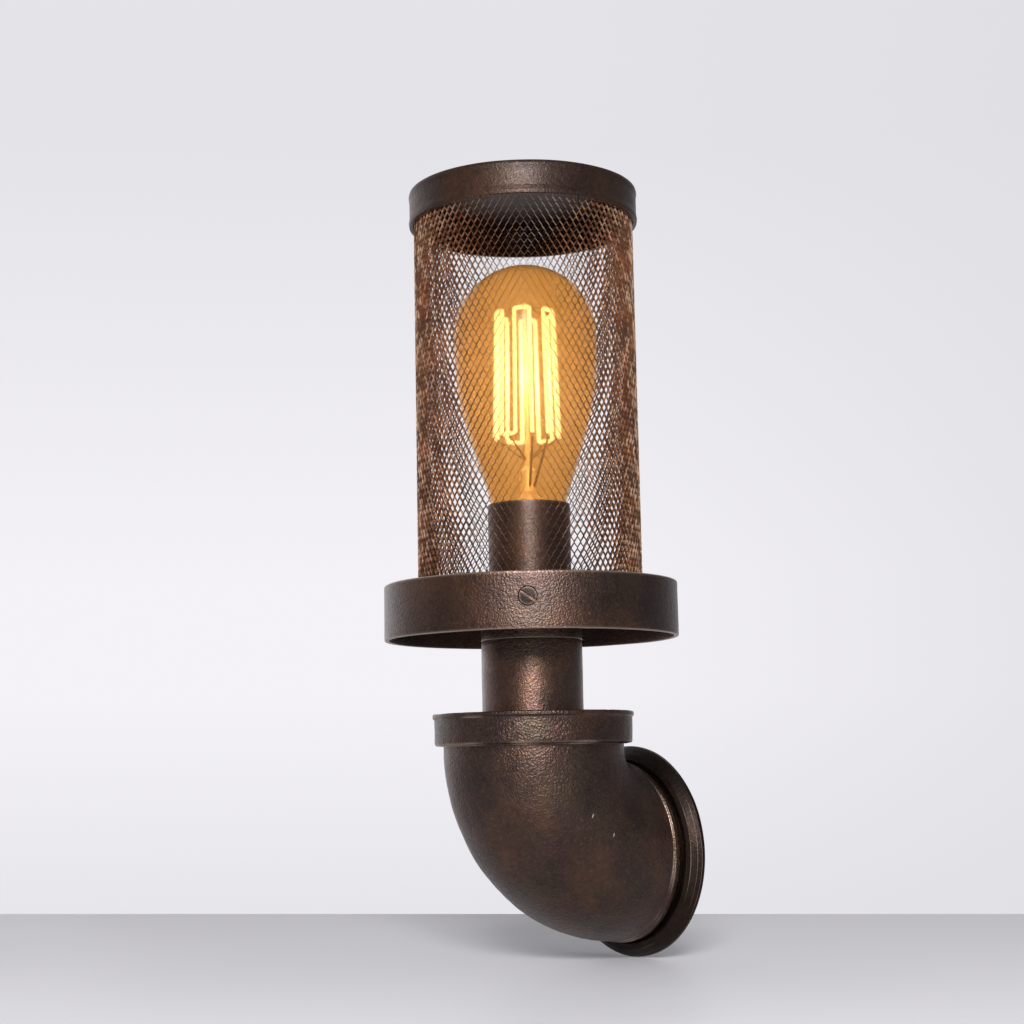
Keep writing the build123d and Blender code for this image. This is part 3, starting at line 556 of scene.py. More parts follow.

# %% [markdown]
# ## Oil rubbed bronze
# The paint is a dark brown over a cast or pressed skin, with copper brown, olive and wine tinted
# clouds, and a fine leathery grain about a millimetre across that breaks up every highlight. It
# reflects like metal, so the shader is metallic, and its dark base is what the pale room gives
# back. The grain is relief. Each point of the mesh carries a mark. Rounded corners, marked as
# worn, go lighter. The same mark paints light: on the mesh it gives the outer face of the strands
# a painted highlight, and on the inside of the lid it is negative, and the paint goes dark as
# painted shade. A copy of the paint can also be made lighter, darker or warmer, which paints
# light and shade on a whole piece.


# %% Oil rubbed bronze
def bronze(name, cloud_mm=26.0, lighter=1.0, warmer=1.0, grain_mm=0.9, grain_depth=0.12, rough=0.40,
           rubbed_and_highlight=(184, 160, 142), metal=0.92, coat=0.28, mottle=1.0, chips=()):
    """Bronze paint with clouds and grain of the given sizes in mm, and flecks as strong as mottle."""
    finish = Finish(name)

    # lighter above 1 paints a lit copy of the paint and below 1 a shaded one, and warmer tints it as warm
    # light does: painted light and shade.
    def shade(r, g, b):
        return srgb(r * lighter * warmer, g * lighter, b * lighter / warmer)

    copper_clouds = finish.ramp(finish.speckle(cloud_mm, 5), 0.44, 0.72)
    colour = finish.tint(copper_clouds, shade(70, 54, 47), shade(100, 69, 50))
    smoke = finish.ramp(finish.speckle(cloud_mm * 0.9, 4, seed=0.62), 0.46, 0.66, 0.0, 0.55)
    colour = finish.tint(smoke, colour, shade(40, 31, 29))
    olive_clouds = finish.ramp(finish.speckle(cloud_mm * 0.8, 4, seed=0.31), 0.50, 0.76)
    colour = finish.tint(olive_clouds, colour, shade(75, 62, 47))
    wine_clouds = finish.ramp(finish.speckle(cloud_mm * 0.6, 4, seed=0.77), 0.52, 0.78)
    colour = finish.tint(wine_clouds, colour, shade(77, 51, 47))
    motes = finish.ramp(finish.speckle(1.3, 3, seed=0.13), 0.52, 0.72, 0.0, 0.35 * mottle)
    colour = finish.tint(motes, colour, shade(120, 88, 66))
    soot = finish.ramp(finish.speckle(2.4, 4, seed=0.5), 0.50, 0.75, 0.0, 0.5 * mottle)
    colour = finish.tint(soot, colour, shade(42, 33, 30))
    wear_and_light = finish.attribute("wear_and_light")
    # Marks above 0.3 take the rubbed colour: worn paint on rounded edges, and a painted highlight on the
    # outer face of the mesh.
    colour = finish.tint(finish.ramp(wear_and_light, 0.30, 0.95, 0.0, 0.75), colour, srgb(*rubbed_and_highlight))
    # Negative marks make the paint dark: painted shade, on the inside of the lid.
    colour = finish.tint(finish.ramp(wear_and_light, -0.1, -1.0, 0.0, 0.8), colour, srgb(22, 16, 13))
    for centre, lean in chips:
        colour = finish.tint(finish.chip(centre, lean), colour, srgb(214, 196, 182))
    finish.plug(Base_Color=colour)
    polish = finish.speckle(1.6, 3, seed=0.9)
    finish.plug(Roughness=finish.ramp(polish, 0.3, 0.7, rough - 0.06, rough + 0.08))
    leather = finish.joined(finish.pits(grain_mm), finish.speckle(grain_mm * 0.6, 2, seed=0.4), "ADD")
    uneven = finish.bump(finish.speckle(7.0, 3, seed=0.2), 0.10)
    grain = finish.bump(leather, grain_depth, after=uneven)
    finish.plug(Normal=grain, Coat_Normal=grain)
    finish.set(Metallic=metal, Coat_Weight=coat, Coat_Roughness=0.28)
    return finish.material


cast_bronze = bronze("cast_bronze", cloud_mm=24, grain_mm=1.0, grain_depth=0.17)
pressed_bronze = bronze("pressed_bronze", cloud_mm=40)
# The lid and its top take a darker copy of the bronze: painted shade that tones down the lid's highlight.
lid_bronze = bronze("lid_bronze", cloud_mm=40, lighter=0.88, grain_depth=0.08, rough=0.50, coat=0.2)
lid_top_bronze = bronze("lid_top_bronze", cloud_mm=40, lighter=0.88, grain_depth=0.08, rough=0.80,
                        metal=0.5, coat=0.0)
# The pipe and neck sleeve take a lighter copy of the bronze: a painted highlight that brightens their shine.
tube_bronze = bronze("tube_bronze", cloud_mm=18, lighter=1.15, grain_depth=0.09, rough=0.37, coat=0.4)
# The wall cover takes a much darker copy of the bronze: painted shade on its domed face.
cover_bronze = bronze("cover_bronze", cloud_mm=15, lighter=0.56, grain_depth=0.07, rough=0.5, coat=0.05)
# The holder cup takes a slightly warmer copy of the bronze: painted warm light from the bulb.
inner_bronze = bronze("inner_bronze", cloud_mm=40, warmer=1.05, grain_depth=0.06, rough=0.52)
# The set screw heads take a darker copy of the bronze, painted shade, and their slot faces a lighter one, a
# painted highlight.
screw_bronze = bronze("screw_bronze", cloud_mm=6, lighter=0.52, grain_depth=0.05, rough=0.52, coat=0.1)
slot_bronze = bronze("slot_bronze", cloud_mm=6, lighter=1.15, grain_depth=0.05, rough=0.45)
# The mesh takes a lighter and warmer copy of the bronze, as if lit by the lamps and the bulb, and a pale
# highlight colour for its outer faces: painted light.
mesh_bronze = bronze("mesh_bronze", cloud_mm=14, lighter=1.38, warmer=1.08, grain_depth=0.01,
                     rubbed_and_highlight=(236, 200, 170), metal=0.4, mottle=0.3)
print("bronzes made")


# %% Putting a piece in the frame
def dress(piece, material, body, slot, *nodes):
    """Give a piece its finish, its body and the nodes that it stands for. The slot is not used."""
    piece.data.materials.clear()
    piece.data.materials.append(material)
    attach(piece, body)
    if nodes:
        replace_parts(piece, *nodes)
    print(piece.name, len(piece.data.polygons), "faces")
    return piece


# %% [markdown]
# ## Wall flange
# A thin round cover, pressed so that its face is slightly domed, with a raised inner edge and a
# groove where the elbow goes through. It could be a curve with the Screw modifier. A turned
# outline is as short and lets each edge have its own rounding.

# %% Wall flange
back = flange_back / MM
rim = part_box("wall_flange")[1].x / MM
flange_t = 1.6
flange_hole_r = 36.1
edge_high = 6.4
seat_low, seat_high = 2.5, 4.1
flange_outline = rounded([
    (flange_hole_r, seat_high, 0), (39.3, seat_high, 0.4), (40.6, edge_high, 0.5),
    (41.6, edge_high, 0.4), (43.4, 5.5, 1.5), (45.5, 3.4, 1.5),
    (rim, 1.8, 0.8), (rim, 0.0, 0.3), (rim - flange_t, 0.0, 0), (rim - flange_t, 1.6, 0.6),
    (41.2, 4.6, 0.5), (39.6, seat_low, 0), (flange_hole_r, seat_low, 0),
])
flange_points = [(r, back + h, wear_and_light) for r, h, wear_and_light in divided(flange_outline, 1.0)]
flange = turned("wall_cover", flange_points, out_of_wall, 240)
dent(flange, 14, 0.10, seed=3.0)
vary_wear_and_light(flange, 18, most=0.6)
dress(flange, cover_bronze, "fixture", "bronze_finish", "wall_flange")

# %% [markdown]
# ## Elbow
# A heavy casting: plain neck and end bead at the flange, a quarter bend, and a band with a bead
# round the mouth. All of these are circles about one centre line, so the whole casting is a
# single outline turned about an axis that bends. The skin is uneven the way sand casting
# leaves it, and the beads are dinged. Two small chips in the paint are found by looking through
# their points of the picture.

# %% Elbow
neck_start = back + seat_low
shoulder = back + seat_high
bore_r, neck_r = 34.0, 37.5
end_bead_r, casting_r = 40.2, 39.5
band_r, mouth_r = 43.3, 44.0
mouth_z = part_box("elbow")[1].z / MM
pipe_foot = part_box("stem_pipe")[0].z / MM
bush_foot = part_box("reducing_bush")[0].z / MM
bush_seat = mouth_z - 3.3
band_low = mouth_z - 14.1


def way_up(height_mm):
    """The way along the elbow's centre line at a height of its upright end."""
    return bend_start / MM + bend_r / MM * (math.pi / 2 - 1) + height_mm


elbow_outline = rounded([
    (bore_r, neck_start, 0), (36.0, neck_start, 0), (36.0, shoulder, 0), (neck_r, shoulder, 0),
    (neck_r, shoulder + 3.9, 0.7), (end_bead_r, shoulder + 4.3, 1.0), (end_bead_r, shoulder + 7.0, 1.0),
    (39.4, shoulder + 7.6, 0.8), (casting_r, way_up(band_low + 0.2), 0.6), (band_r, way_up(band_low), 1.5),
    (band_r, way_up(mouth_z - 2.5), 0.6), (mouth_r, way_up(mouth_z - 2.1), 0.7),
    (mouth_r, way_up(mouth_z), 0.9), (41.4, way_up(mouth_z), 0.3), (41.4, way_up(bush_seat), 0),
    (38.3, way_up(bush_seat), 0), (38.3, way_up(bush_foot), 0), (bore_r, way_up(bush_foot), 0),
])
elbow = turned("elbow_casting", divided(elbow_outline, 1.1), along_elbow, 256)
dent(elbow, 16, 0.28, seed=1.0)
dent(elbow, 3.2, 0.10, seed=5.0)
vary_wear_and_light(elbow, 15)

chips_seen = {"upper": (593, 816), "lower": (614, 835)}
bpy.context.view_layer.update()
chips = []
for name, (x, y) in chips_seen.items():
    _, spot, _, _ = elbow.ray_cast(eye, look_through(x, y))
    chips.append((spot, (view_up + 0.5 * view_right).normalized()))
    print(name, "chip at", [round(v / MM, 1) for v in spot])
elbow_bronze = bronze("elbow_bronze", cloud_mm=24, grain_mm=1.0, grain_depth=0.17, lighter=0.96, chips=chips)
dress(elbow, elbow_bronze, "fixture", "bronze_finish", "elbow")

# %% [markdown]
# ## Bush, pipe and neck sleeve
# The bush is a flat plate just inside the mouth. The pipe stands in it, and above a thin dark
# joint line the neck sleeve carries on at the same diameter, up into the ring.

# %% Bush, pipe and neck sleeve
bush_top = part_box("reducing_bush")[1].z / MM
skirt_foot = bush_seat - 8.0
tube_hole_r, pocket_r = 5.05, 22.25
skirt_in, skirt_out, plate_r = 35.2, 38.2, 41.3
bush = turned("mouth_bush", divided(rounded([
    (tube_hole_r, bush_foot, 0), (25.4, bush_foot, 0), (25.4, bush_seat, 0), (skirt_in, bush_seat, 0),
    (skirt_in, skirt_foot, 0), (skirt_out, skirt_foot, 0), (skirt_out, bush_seat, 0),
    (plate_r, bush_seat, 0), (plate_r, bush_top, 0.4), (pocket_r, bush_top, 0.3),
    (pocket_r, pipe_foot, 0), (tube_hole_r, pipe_foot, 0),
]), 4))
dress(bush, cast_bronze, "fixture", "bronze_finish", "reducing_bush")

pipe_r, pipe_bore = 22.2, 19.8
pipe_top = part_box("stem_pipe")[1].z / MM
pipe = turned("pipe", divided(rounded([
    (pipe_bore, pipe_foot, 0), (pipe_r, pipe_foot, 0), (pipe_r, pipe_top, 0.45), (pipe_bore, pipe_top, 0),
]), 1.5))
dent(pipe, 12, 0.08, seed=2.0)
dress(pipe, tube_bronze, "fixture", "bronze_finish", "stem_pipe")

neck_bore, spigot_r = 17.75, 19.75
neck_foot, joint_low, joint_high, neck_top = 88.9, 92.7, 92.9, 113.2
neck = turned("neck", divided(rounded([
    (neck_bore, neck_foot, 0), (spigot_r, neck_foot, 0), (spigot_r, joint_low, 0), (21.7, joint_low, 0),
    (21.7, joint_high, 0), (pipe_r, joint_high, 0.25), (pipe_r, neck_top, 0), (neck_bore, neck_top, 0),
]), 2))
dress(neck, tube_bronze, "fixture", "bronze_finish", "neck_sleeve")

# %% [markdown]
# ## Guard ring
# A drum, open below. Its wall has three threaded holes with bosses behind them, a third of a
# turn apart, for the screws that lock it. The drum is turned. Boolean modifiers join the bosses
# to it and bore the holes, each with a turned cutter whose end flares, which leaves the slanting
# rim of a countersunk hole.

# %% Turned tools that point sideways
screw_turns = {"a": 50.0, "b": 170.0, "c": 290.0}
screw_z = 107.0 * MM


def sideways(turn_degrees, height):
    """Placer about an axis that points out from the lamp's axis, turned from straight ahead."""
    turned_by = math.radians(turn_degrees)
    outward = Vector((math.sin(turned_by), -math.cos(turned_by), 0))
    across = Vector((math.cos(turned_by), math.sin(turned_by), 0))
    centre = Vector((0, lamp_y, height))

    def place(angle, r, h):
        return centre + outward * h + across * (r * math.cos(angle)) + Vector((0, 0, r * math.sin(angle)))

    return place


def cut(piece, tool, operation="DIFFERENCE"):
    """Cut a piece with a tool, or join them, and throw the tool away."""
    change = piece.modifiers.new("cut", "BOOLEAN")
    change.operation = operation
    change.solver = "EXACT"
    change.object = tool
    bpy.context.view_layer.update()
    shaped = bpy.data.meshes.new_from_object(piece.evaluated_get(bpy.context.evaluated_depsgraph_get()))
    piece.modifiers.clear()
    piece.data = shaped
    bpy.data.objects.remove(tool)


print("screws at", list(screw_turns.values()), "degrees")

# %% Guard ring
hole_r, drum_in, drum_out = 47.0, 62.5, 64.5
drum_foot, drum_ceiling, drum_top = 93.5, 115.3, 117.5
boss_r, boss_low, boss_high = 6.5, 59.0, 63.4
thread_r, sink_r, sink_low, sink_high = 3.85, 4.6, 64.0, 64.9
ring = turned("ring", divided(rounded([
    (hole_r, drum_ceiling, 0), (drum_in, drum_ceiling, 0.8), (drum_in, drum_foot, 0.35),
    (drum_out, drum_foot, 0.6), (drum_out, drum_top, 0.9), (hole_r, drum_top, 0.4),
]), 2.5), around=240)
dent(ring, 22, 0.10, seed=4.0)
for name, turn_degrees in screw_turns.items():
    outwards = sideways(turn_degrees, screw_z)
    boss = turned("boss", rounded([
        (0, boss_low, 0), (boss_r, boss_low, 0.5), (boss_r, boss_high, 0), (0, boss_high, 0),
    ]), outwards, 48)
    cut(ring, boss, "UNION")
    bore = turned("bore", [
        (0, boss_low - 1, 0), (thread_r, boss_low - 1, 0), (thread_r, sink_low, 0),
        (sink_r, sink_high, 0), (0, sink_high, 0),
    ], outwards, 48)
    cut(ring, bore)
ring.data.shade_smooth()
ring.data.set_sharp_from_angle(angle=math.radians(35))
dress(ring, pressed_bronze, "guard", "bronze_finish", "guard_ring")

# %% [markdown]
# ## Slotted screws
# Each set screw lies flush in its hole, painted over, with its slot at its own angle. The small
# screw in the elbow's band is made the same way. The slot's own faces are kept in a list. On the
# set screws they take a lighter copy of the bronze, a painted highlight, and the heads a darker
# one, painted shade.


# %% Slotted screws
def slotted_screw(name, place, d, low, top, tilt_degrees, point_d=None, slot_w=1.2, slot_deep=1.1):
    """A turned screw with a rounded head edge and a driver slot, in mm."""
    tip = (point_d or d) / 2
    screw = turned(name, rounded([
        (0, low, 0), (tip, low, 0.3), (tip, top - 3.2, 0), (d / 2, top - 3.0, 0),
        (d / 2, top, 0.35), (0, top, 0),
    ]), place, 48)
    tilt = math.radians(tilt_degrees)
    head = place(0, 0, top * MM)
    along_slot = place(tilt, 1, 0) - place(0, 0, 0)
    across_slot = place(tilt + math.pi / 2, 1, 0) - place(0, 0, 0)
    outward = place(0, 0, 1) - place(0, 0, 0)
    bm = bmesh.new()
    bmesh.ops.create_cube(bm, size=1.0)
    for vert in bm.verts:
        x, y, z = vert.co
        in_head = along_slot * x * 2 * d * MM + across_slot * y * slot_w * MM
        vert.co = head + in_head + outward * z * 2 * slot_deep * MM
    cut(screw, finish_mesh("slot", bm))
    screw.data.shade_smooth()
    screw.data.set_sharp_from_angle(angle=math.radians(35))
    screw["slot"] = [
        face.index for face in screw.data.polygons
        if abs((face.center - head).dot(across_slot)) < 0.51 * slot_w * MM
        and -1.01 * slot_deep * MM < (face.center - head).dot(outward) < -0.05 * MM
    ]
    return screw


slot_tilts = {"a": -35.0, "b": 20.0, "c": 75.0}
set_screw_d, screw_point_d = 7.5, 4.4
screw_foot, screw_head = 58.95, 64.25
for name, turn_degrees in screw_turns.items():
    screw = slotted_screw("screw_" + name, sideways(turn_degrees, screw_z), set_screw_d, screw_foot,
                          screw_head, slot_tilts[name], point_d=screw_point_d)
    dress(screw, screw_bronze, "lock_screw_" + name, "dark_steel", "set_screw_" + name)
    # The slot faces take the lighter copy: a painted highlight.
    screw.data.materials.append(slot_bronze)
    for index in screw["slot"]:
        screw.data.polygons[index].material_index = 1

collar_screw = slotted_screw("band_screw", sideways(43.0, 54.5 * MM), d=4.2, low=38.35, top=43.35,
                             tilt_degrees=30, slot_w=0.5, slot_deep=0.25)
dress(collar_screw, pressed_bronze, "fixture", "dark_steel", "collar_screw")

# %% [markdown]
# ## Diamond mesh
# The guard is expanded metal: a sheet slit in rows and pulled open, so that short upright
# knuckles are joined by thin slanting strands. Pulling it open turns the strands edge on: they
# are deeper than they are wide, and so the mesh closes up towards the sides of the tube. A
# texture with holes would look flat from close by and at the outline, so every strand is real.
# The cells are laid out as one sheet of six sided faces round the tube. Each is inset and its
# middle deleted, which leaves the flat strands, and one extrusion inwards, tipped up a little,
# gives them their depth. The outer face is painted lighter than the inner one, as a painted
# highlight where the light catches the strands.

# %% Diamond mesh
mesh_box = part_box("mesh_guard")
mesh_r = (mesh_box[1].x - mesh_box[0].x) / 2
columns = 98
rows = 33
strand = 0.66 * MM
depth = 1.20 * MM
pitch_up = 0.10 * MM
knuckle = 0.60 * MM
mesh_low = mesh_box[0].z
mesh_high = mesh_box[1].z - pitch_up
half_row = (mesh_high - mesh_low) / (2 * rows)


def lay_out_cells():
    """Sheet of six sided cells, two half rows to a row of diamonds."""
    bm = bmesh.new()
    tops, feet = [], []
    for level in range(2 * rows + 1):
        tops.append([])
        feet.append([])
        for column in range(columns):
            angle = 2 * math.pi * (column + 0.5 * (level % 2)) / columns
            height = mesh_low + level * half_row
            end = level in (0, 2 * rows)
            reach = 0 if end else knuckle / 2
            feet[-1].append(bm.verts.new(upright(angle, mesh_r, height - reach)))
            top = feet[-1][-1] if end else bm.verts.new(upright(angle, mesh_r, height + reach))
            tops[-1].append(top)
    for level in range(2 * rows + 1):
        for column in range(columns):
            after = (column + 1) % columns
            between = column if level % 2 == 0 else after
            cell = []
            if level > 0:
                cell.append(tops[level - 1][between])
            cell += [feet[level][after], tops[level][after]]
            if level < 2 * rows:
                cell.append(feet[level + 1][between])
            cell += [tops[level][column], feet[level][column]]
            bm.faces.new(list(dict.fromkeys(cell)))
    return bm


def pull_open(bm):
    """Leave the edges of the cells as flat strands, and give them their depth."""
    cells = bm.faces[:]
    bmesh.ops.inset_individual(bm, faces=cells, thickness=strand / 2, use_even_offset=True)
    bmesh.ops.delete(bm, geom=cells, context="FACES_ONLY")
    # All points are marked 1 for a painted highlight on the outer face, and the inner points made by the
    # extrusion 0.
    wear_and_light_layer = bm.verts.layers.float.new("wear_and_light")
    for vert in bm.verts:
        vert[wear_and_light_layer] = 1.0
    made = bmesh.ops.extrude_face_region(bm, geom=bm.faces[:], use_keep_orig=True)
    for vert in made["geom"]:
        if isinstance(vert, bmesh.types.BMVert):
            vert[wear_and_light_layer] = 0.0
            inward = Vector((-vert.co.x, lamp_y - vert.co.y, 0)).normalized()
            vert.co += inward * depth + Vector((0, 0, pitch_up))
    return bm


guard = finish_mesh("diamond_mesh", pull_open(lay_out_cells()))
guard.data.shade_flat()
vary_wear_and_light(guard, 1.6)
dress(guard, mesh_bronze, "guard", "mesh_bronze", "mesh_guard")

# %% [markdown]
# ## Top cap
# A shallow lid pressed from sheet. Both edges swell into a low, soft bead, with a slight waist
# between them, and its side hides the cut end of the mesh. Its inside carries a negative mark,
# which the bronze paints dark: painted shade. Its top is duller than its side, as dust leaves it.

# %% Top cap
cap_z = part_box("top_cap")[0].z / MM
cap_bore, waist_r, bead_r = 49.55, 51.25, 51.6
cap_top, cap_ceiling = cap_z + 15.0, cap_z + 13.2
cap_outline = divided(rounded([
    (cap_bore, cap_z, 0.2), (51.4, cap_z, 0.5), (bead_r, cap_z + 1.6, 1.5), (waist_r, cap_z + 4.0, 2.5),
    (waist_r, cap_z + 11.0, 2.5), (bead_r, cap_z + 13.4, 2.0), (51.2, cap_top, 0.8),
    (0, cap_top, 0), (0, cap_ceiling, 0), (cap_bore, cap_ceiling, 0.3),
], steps=6), 3)
# Points inside the lid are marked -1, which the bronze paints dark: painted shade.
cap = turned("cap", [
    (r, h, -1.0 if r < cap_bore + 0.05 and h < cap_ceiling + 0.1 else wear_and_light) for r, h, wear_and_light in cap_outline
], around=240)
dent(cap, 25, 0.10, seed=6.0)
vary_wear_and_light(cap, 10, most=0.25)
dress(cap, lid_bronze, "guard", "bronze_finish", "top_cap")
cap.data.materials.append(lid_top_bronze)
for face in cap.data.polygons:
    if face.normal.z > 0.9 and face.center.z > (cap_top - 1.0) * MM:
        face.material_index = 1

# %% [markdown]
# ## Lampholder sleeve
# A thin dark cup hides the porcelain lampholder. The rounded edge of its mouth shows as a fine
# line under the glass.

# %% Lampholder sleeve
cup_hole, cup_in, cup_out = 5.1, 17.6, 18.2
cup_foot, cup_floor, cup_top = 118.1, 118.7, 153.1
cup = turned("holder_cup", divided(rounded([
    (cup_hole, cup_foot, 0), (cup_out, cup_foot, 0.6), (cup_out, cup_top, 0.25),
    (cup_in, cup_top, 0.2), (cup_in, cup_floor, 0), (cup_hole, cup_floor, 0),
]), 4), around=160)
dress(cup, inner_bronze, "fixture", "dark_bronze", "holder_sleeve")

# %% [markdown]
# ## Bulb glass
# Teardrop glass, amber tinted and thin walled, with a half ball crown and a belly that runs down
# in a long cone to the neck. The crown lies where the picture shows it, a little lower than the
# solid's. The glass is a closed shell with an inner and an outer skin. Its wall is so
# thin that it hardly bends what lies behind it, so the index of refraction is low, which also
# keeps the lamps' mirror images weak. A very slight haze in the glass spreads the glare of the
# filament, and shadow rays pass through tinted, so that the filament lights the mesh.


# %% Bulb outline
def bulb_outline(inset):
    """Outline of the bulb from its foot to its crown, set in by the given mm."""
    wide = 32.0
    wide_z = 229.6
    points = [(12.55 - inset, 144.1), (12.55 - inset, 150.1), (14.6 - inset, 151.4), (16.3 - inset, 153.4)]
    knots = [((16.8, 154.6), (8.0, 26.0)), ((29.3, 196.9), (6.5, 32.0)), ((wide, wide_z), (0.0, 40.0))]
    for (start, leave), (end, arrive) in zip(knots, knots[1:]):
        for step in range(16):
            t = step / 16
            blend = (2 * t**3 - 3 * t**2 + 1, t**3 - 2 * t**2 + t, 3 * t**2 - 2 * t**3, t**3 - t**2)
            r, h = (sum(b * v[i] for b, v in zip(blend, (start, leave, end, arrive))) for i in (0, 1))
            points.append((r - inset, h))
    for step in range(33):
        angle = math.pi / 2 * step / 32
        points.append(((wide - inset) * math.cos(angle), wide_z + (wide - inset) * math.sin(angle)))
    points[-1] = (0.0, points[-1][1])
    return points


glass_wall = 0.8
shell = bulb_outline(0) + bulb_outline(glass_wall)[::-1]
glass = turned("glass", [(r, h, 0) for r, h in shell], around=160, sharp_degrees=60)
print("glass from", shell[0][1], "to", max(h for _, h in shell))

# %% Amber glass
amber = Finish("amber_glass")
amber.set(Transmission_Weight=1.0, IOR=1.15)
drift = amber.ramp(amber.speckle(30, 2), 0.35, 0.65)
tinted = amber.tint(drift, (0.87, 0.57, 0.25, 1), (0.91, 0.62, 0.31, 1))
amber.plug(Base_Color=tinted)
amber.plug(Roughness=amber.ramp(amber.speckle(12, 3, seed=0.2), 0.3, 0.7, 0.15, 0.19))
amber.plug(Normal=amber.bump(amber.speckle(16, 2, seed=0.6), 0.10))
haze = amber.add("BsdfTranslucent")
amber.links.new(tinted, haze.inputs["Color"])
hazy = amber.blend(0.07, amber.shader.outputs[0], haze.outputs[0])
rays = amber.add("LightPath")
clear = amber.add("BsdfTransparent")
clear.inputs["Color"].default_value = (1.0, 0.88, 0.70, 1)
amber.blend(rays.outputs["Is Shadow Ray"], hazy, clear.outputs[0], amber.output.inputs["Surface"])
dress(glass, amber.material, "bulb", "amber_glass", "bulb_glass")

# %% [markdown]
# ## Filament
# One long wire runs up and down between two rings of hooks, like a cage. It is alight, so it is
# thicker here than the cold wire: that is how wide its glare looks. It is a curve with a round
# bevel, turned into a mesh, with tight round turns at the hooks. A small warm lamp in its middle
# gives the light that it throws on the inside of the mesh, and goes with the bulb.


# %% Filament
def tube_along(name, points, radius):
    """A round wire that is led smoothly by points, as a mesh."""
    data = bpy.data.curves.new(name, "CURVE")
    data.dimensions = "3D"
    data.bevel_depth = radius
    data.bevel_resolution = 3
    data.use_fill_caps = True
    line = data.splines.new("NURBS")
    line.points.add(len(points) - 1)
    for knot, point in zip(line.points, points):
        knot.co = (*point, 1)
    line.order_u = 3
    line.use_endpoint_u = True
    line.resolution_u = 6
    holder = bpy.data.objects.new(name, data)
    bpy.context.scene.collection.objects.link(holder)
    bpy.context.view_layer.update()
    mesh = bpy.data.meshes.new_from_object(holder.evaluated_get(bpy.context.evaluated_depsgraph_get()))
    bpy.data.objects.remove(holder)
    piece = bpy.data.objects.new(name, mesh)
    bpy.context.scene.collection.objects.link(piece)
    mesh.shade_smooth()
    return piece


legs = 12
glow_r = 0.90 * MM
low_turns, high_turns = 182.5 * MM, 241.0 * MM
low_ring_r, high_ring_r = 14.5 * MM, 13.0 * MM
wire_points = []
for leg in range(legs):
    angle = 2 * math.pi * leg / legs
    foot = upright(angle, low_ring_r, low_turns + glow_r)
    top = upright(angle, high_ring_r, high_turns - glow_r)
    run = [foot, foot.lerp(top, 0.03), foot.lerp(top, 0.5), foot.lerp(top, 0.97), top]
    wire_points += run if leg % 2 == 0 else run[::-1]
filament = tube_along("filament_wire", wire_points, glow_r)
hot = Finish("hot_wire")
hot.set(Base_Color=srgb(255, 230, 170), Roughness=0.5, Emission_Strength=1.35)
coils = hot.ramp(hot.speckle(3.0, 2), 0.3, 0.7)
hot.plug(Emission_Color=hot.tint(coils, srgb(255, 246, 236), srgb(255, 252, 248)))
dress(filament, hot.material, "bulb", "filament_glow", "filament")

glow = bpy.data.lights.new("filament_light", "POINT")
glow.energy = 0.11
glow.shadow_soft_size = 12 * MM
glow.color = (1.0, 0.86, 0.66)
glow_lamp = bpy.data.objects.new("filament_light", glow)
bpy.context.scene.collection.objects.link(glow_lamp)
glow_lamp.location = (0, lamp_y, (low_turns + high_turns) / 2)
glow_lamp.visible_camera = False
glow_lamp.visible_glossy = False
glow_lamp.visible_transmission = False
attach(glow_lamp, "bulb")

# %% [markdown]
# ## Finishes for the carried over solids
# The rest keeps its solid, which is the right shape already: wall bracket, terminals, leads,
# nuts, porcelain, brass. Each gets a finish of its own, with the marks of how it was made.


# %% Plain finishes with their grain
def plated(name, light, dark, rough):
    """Turned or plated metal with fine scratches and cloudy tarnish."""
    finish = Finish(name)
    tarnish = finish.ramp(finish.speckle(6, 4), 0.35, 0.7)
    finish.plug(Base_Color=finish.tint(tarnish, light, dark))
    polish = finish.speckle(1.5, 3, seed=0.3)
    finish.plug(Roughness=finish.ramp(polish, 0.3, 0.7, rough - 0.08, rough + 0.1))
    scratches = finish.speckle(0.5, 2, seed=0.8, stretch=(1, 1, 0.1))
    finish.plug(Normal=finish.bump(scratches, 0.02))
    finish.set(Metallic=1.0)
    return finish.material


def moulded(name, light, dark, rough, coat=0.0):
    """Plastic, rubber or porcelain with a faint skin and slight colour drift."""
    finish = Finish(name)
    drift = finish.ramp(finish.speckle(9, 3), 0.3, 0.7)
    finish.plug(Base_Color=finish.tint(drift, light, dark))
    polish = finish.speckle(2, 3, seed=0.3)
    finish.plug(Roughness=finish.ramp(polish, 0.3, 0.7, rough - 0.05, rough + 0.08))
    finish.plug(Normal=finish.bump(finish.speckle(0.8, 2, seed=0.6), 0.015))
    finish.set(Coat_Weight=coat, Coat_Roughness=0.08)
    return finish.material


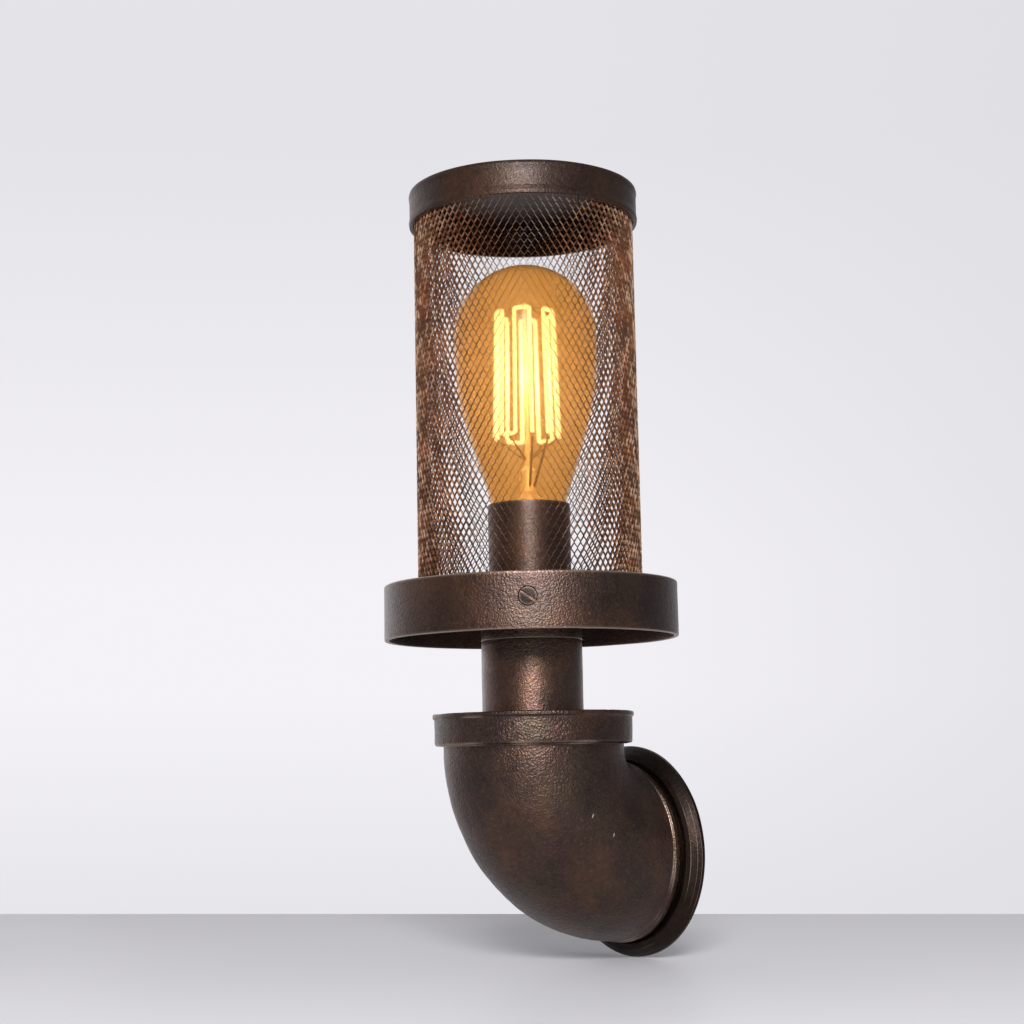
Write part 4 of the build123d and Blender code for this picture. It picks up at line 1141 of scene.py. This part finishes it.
def stem_glass():
    """Milky glass of the stem, which catches the filament's light."""
    finish = Finish("stem_glass")
    finish.set(Transmission_Weight=0.55, IOR=1.5)
    haze = finish.ramp(finish.speckle(4, 3), 0.3, 0.7)
    finish.plug(Base_Color=finish.tint(haze, srgb(250, 240, 228), srgb(244, 230, 214)))
    finish.plug(Roughness=finish.ramp(haze, 0.0, 1.0, 0.12, 0.22))
    return finish.material


finishes = {
    "zinc_steel": plated("zinc_steel", srgb(196, 196, 194), srgb(158, 160, 158), 0.34),
    "brass": plated("brass", srgb(214, 180, 106), srgb(170, 132, 70), 0.28),
    "solder": plated("solder", srgb(186, 186, 188), srgb(140, 140, 144), 0.45),
    "dark_steel": screw_bronze,
    "dark_bronze": inner_bronze,
    "bronze_finish": cast_bronze,
    "porcelain": moulded("porcelain", srgb(238, 234, 224), srgb(228, 222, 208), 0.22, coat=0.7),
    "white_plastic": moulded("white_plastic", srgb(232, 231, 226), srgb(220, 219, 212), 0.42),
    "black_rubber": moulded("black_rubber", srgb(40, 40, 41), srgb(28, 28, 29), 0.62),
    "brown_insulation": moulded("brown_insulation", srgb(96, 58, 38), srgb(82, 48, 32), 0.45),
    "blue_insulation": moulded("blue_insulation", srgb(58, 92, 156), srgb(46, 78, 140), 0.45),
    "green_insulation": moulded("green_insulation", srgb(92, 138, 64), srgb(176, 168, 52), 0.45),
    "black_glass": moulded("black_glass", srgb(34, 28, 34), srgb(24, 20, 26), 0.18, coat=0.8),
    "clear_glass": stem_glass(),
    "wire_metal": plated("wire_metal", srgb(176, 160, 140), srgb(120, 104, 90), 0.35),
}
slot_of = {part["node"]: part["material_slot"] for part in frame["record"]["subparts"]}
stood_for = {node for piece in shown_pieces() for node in piece.get("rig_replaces", [])}
for node, solid in frame["nodes"].items():
    if node in stood_for:
        continue
    solid.data.materials.clear()
    solid.data.materials.append(finishes[slot_of[node]])
    print(node, slot_of[node])

# %% [markdown]
# ## Last look
# Both boxes are compared, and how far the dressed light reaches past its solids is printed.
# The dressed light may not be larger than its solids.

# %% Sizes
seen_low, seen_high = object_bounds()
grown = [max(a - b, d - c) / MM for a, b, c, d in zip(cad_low, seen_low, cad_high, seen_high)]
print("grown by mm", [round(g, 3) for g in grown])
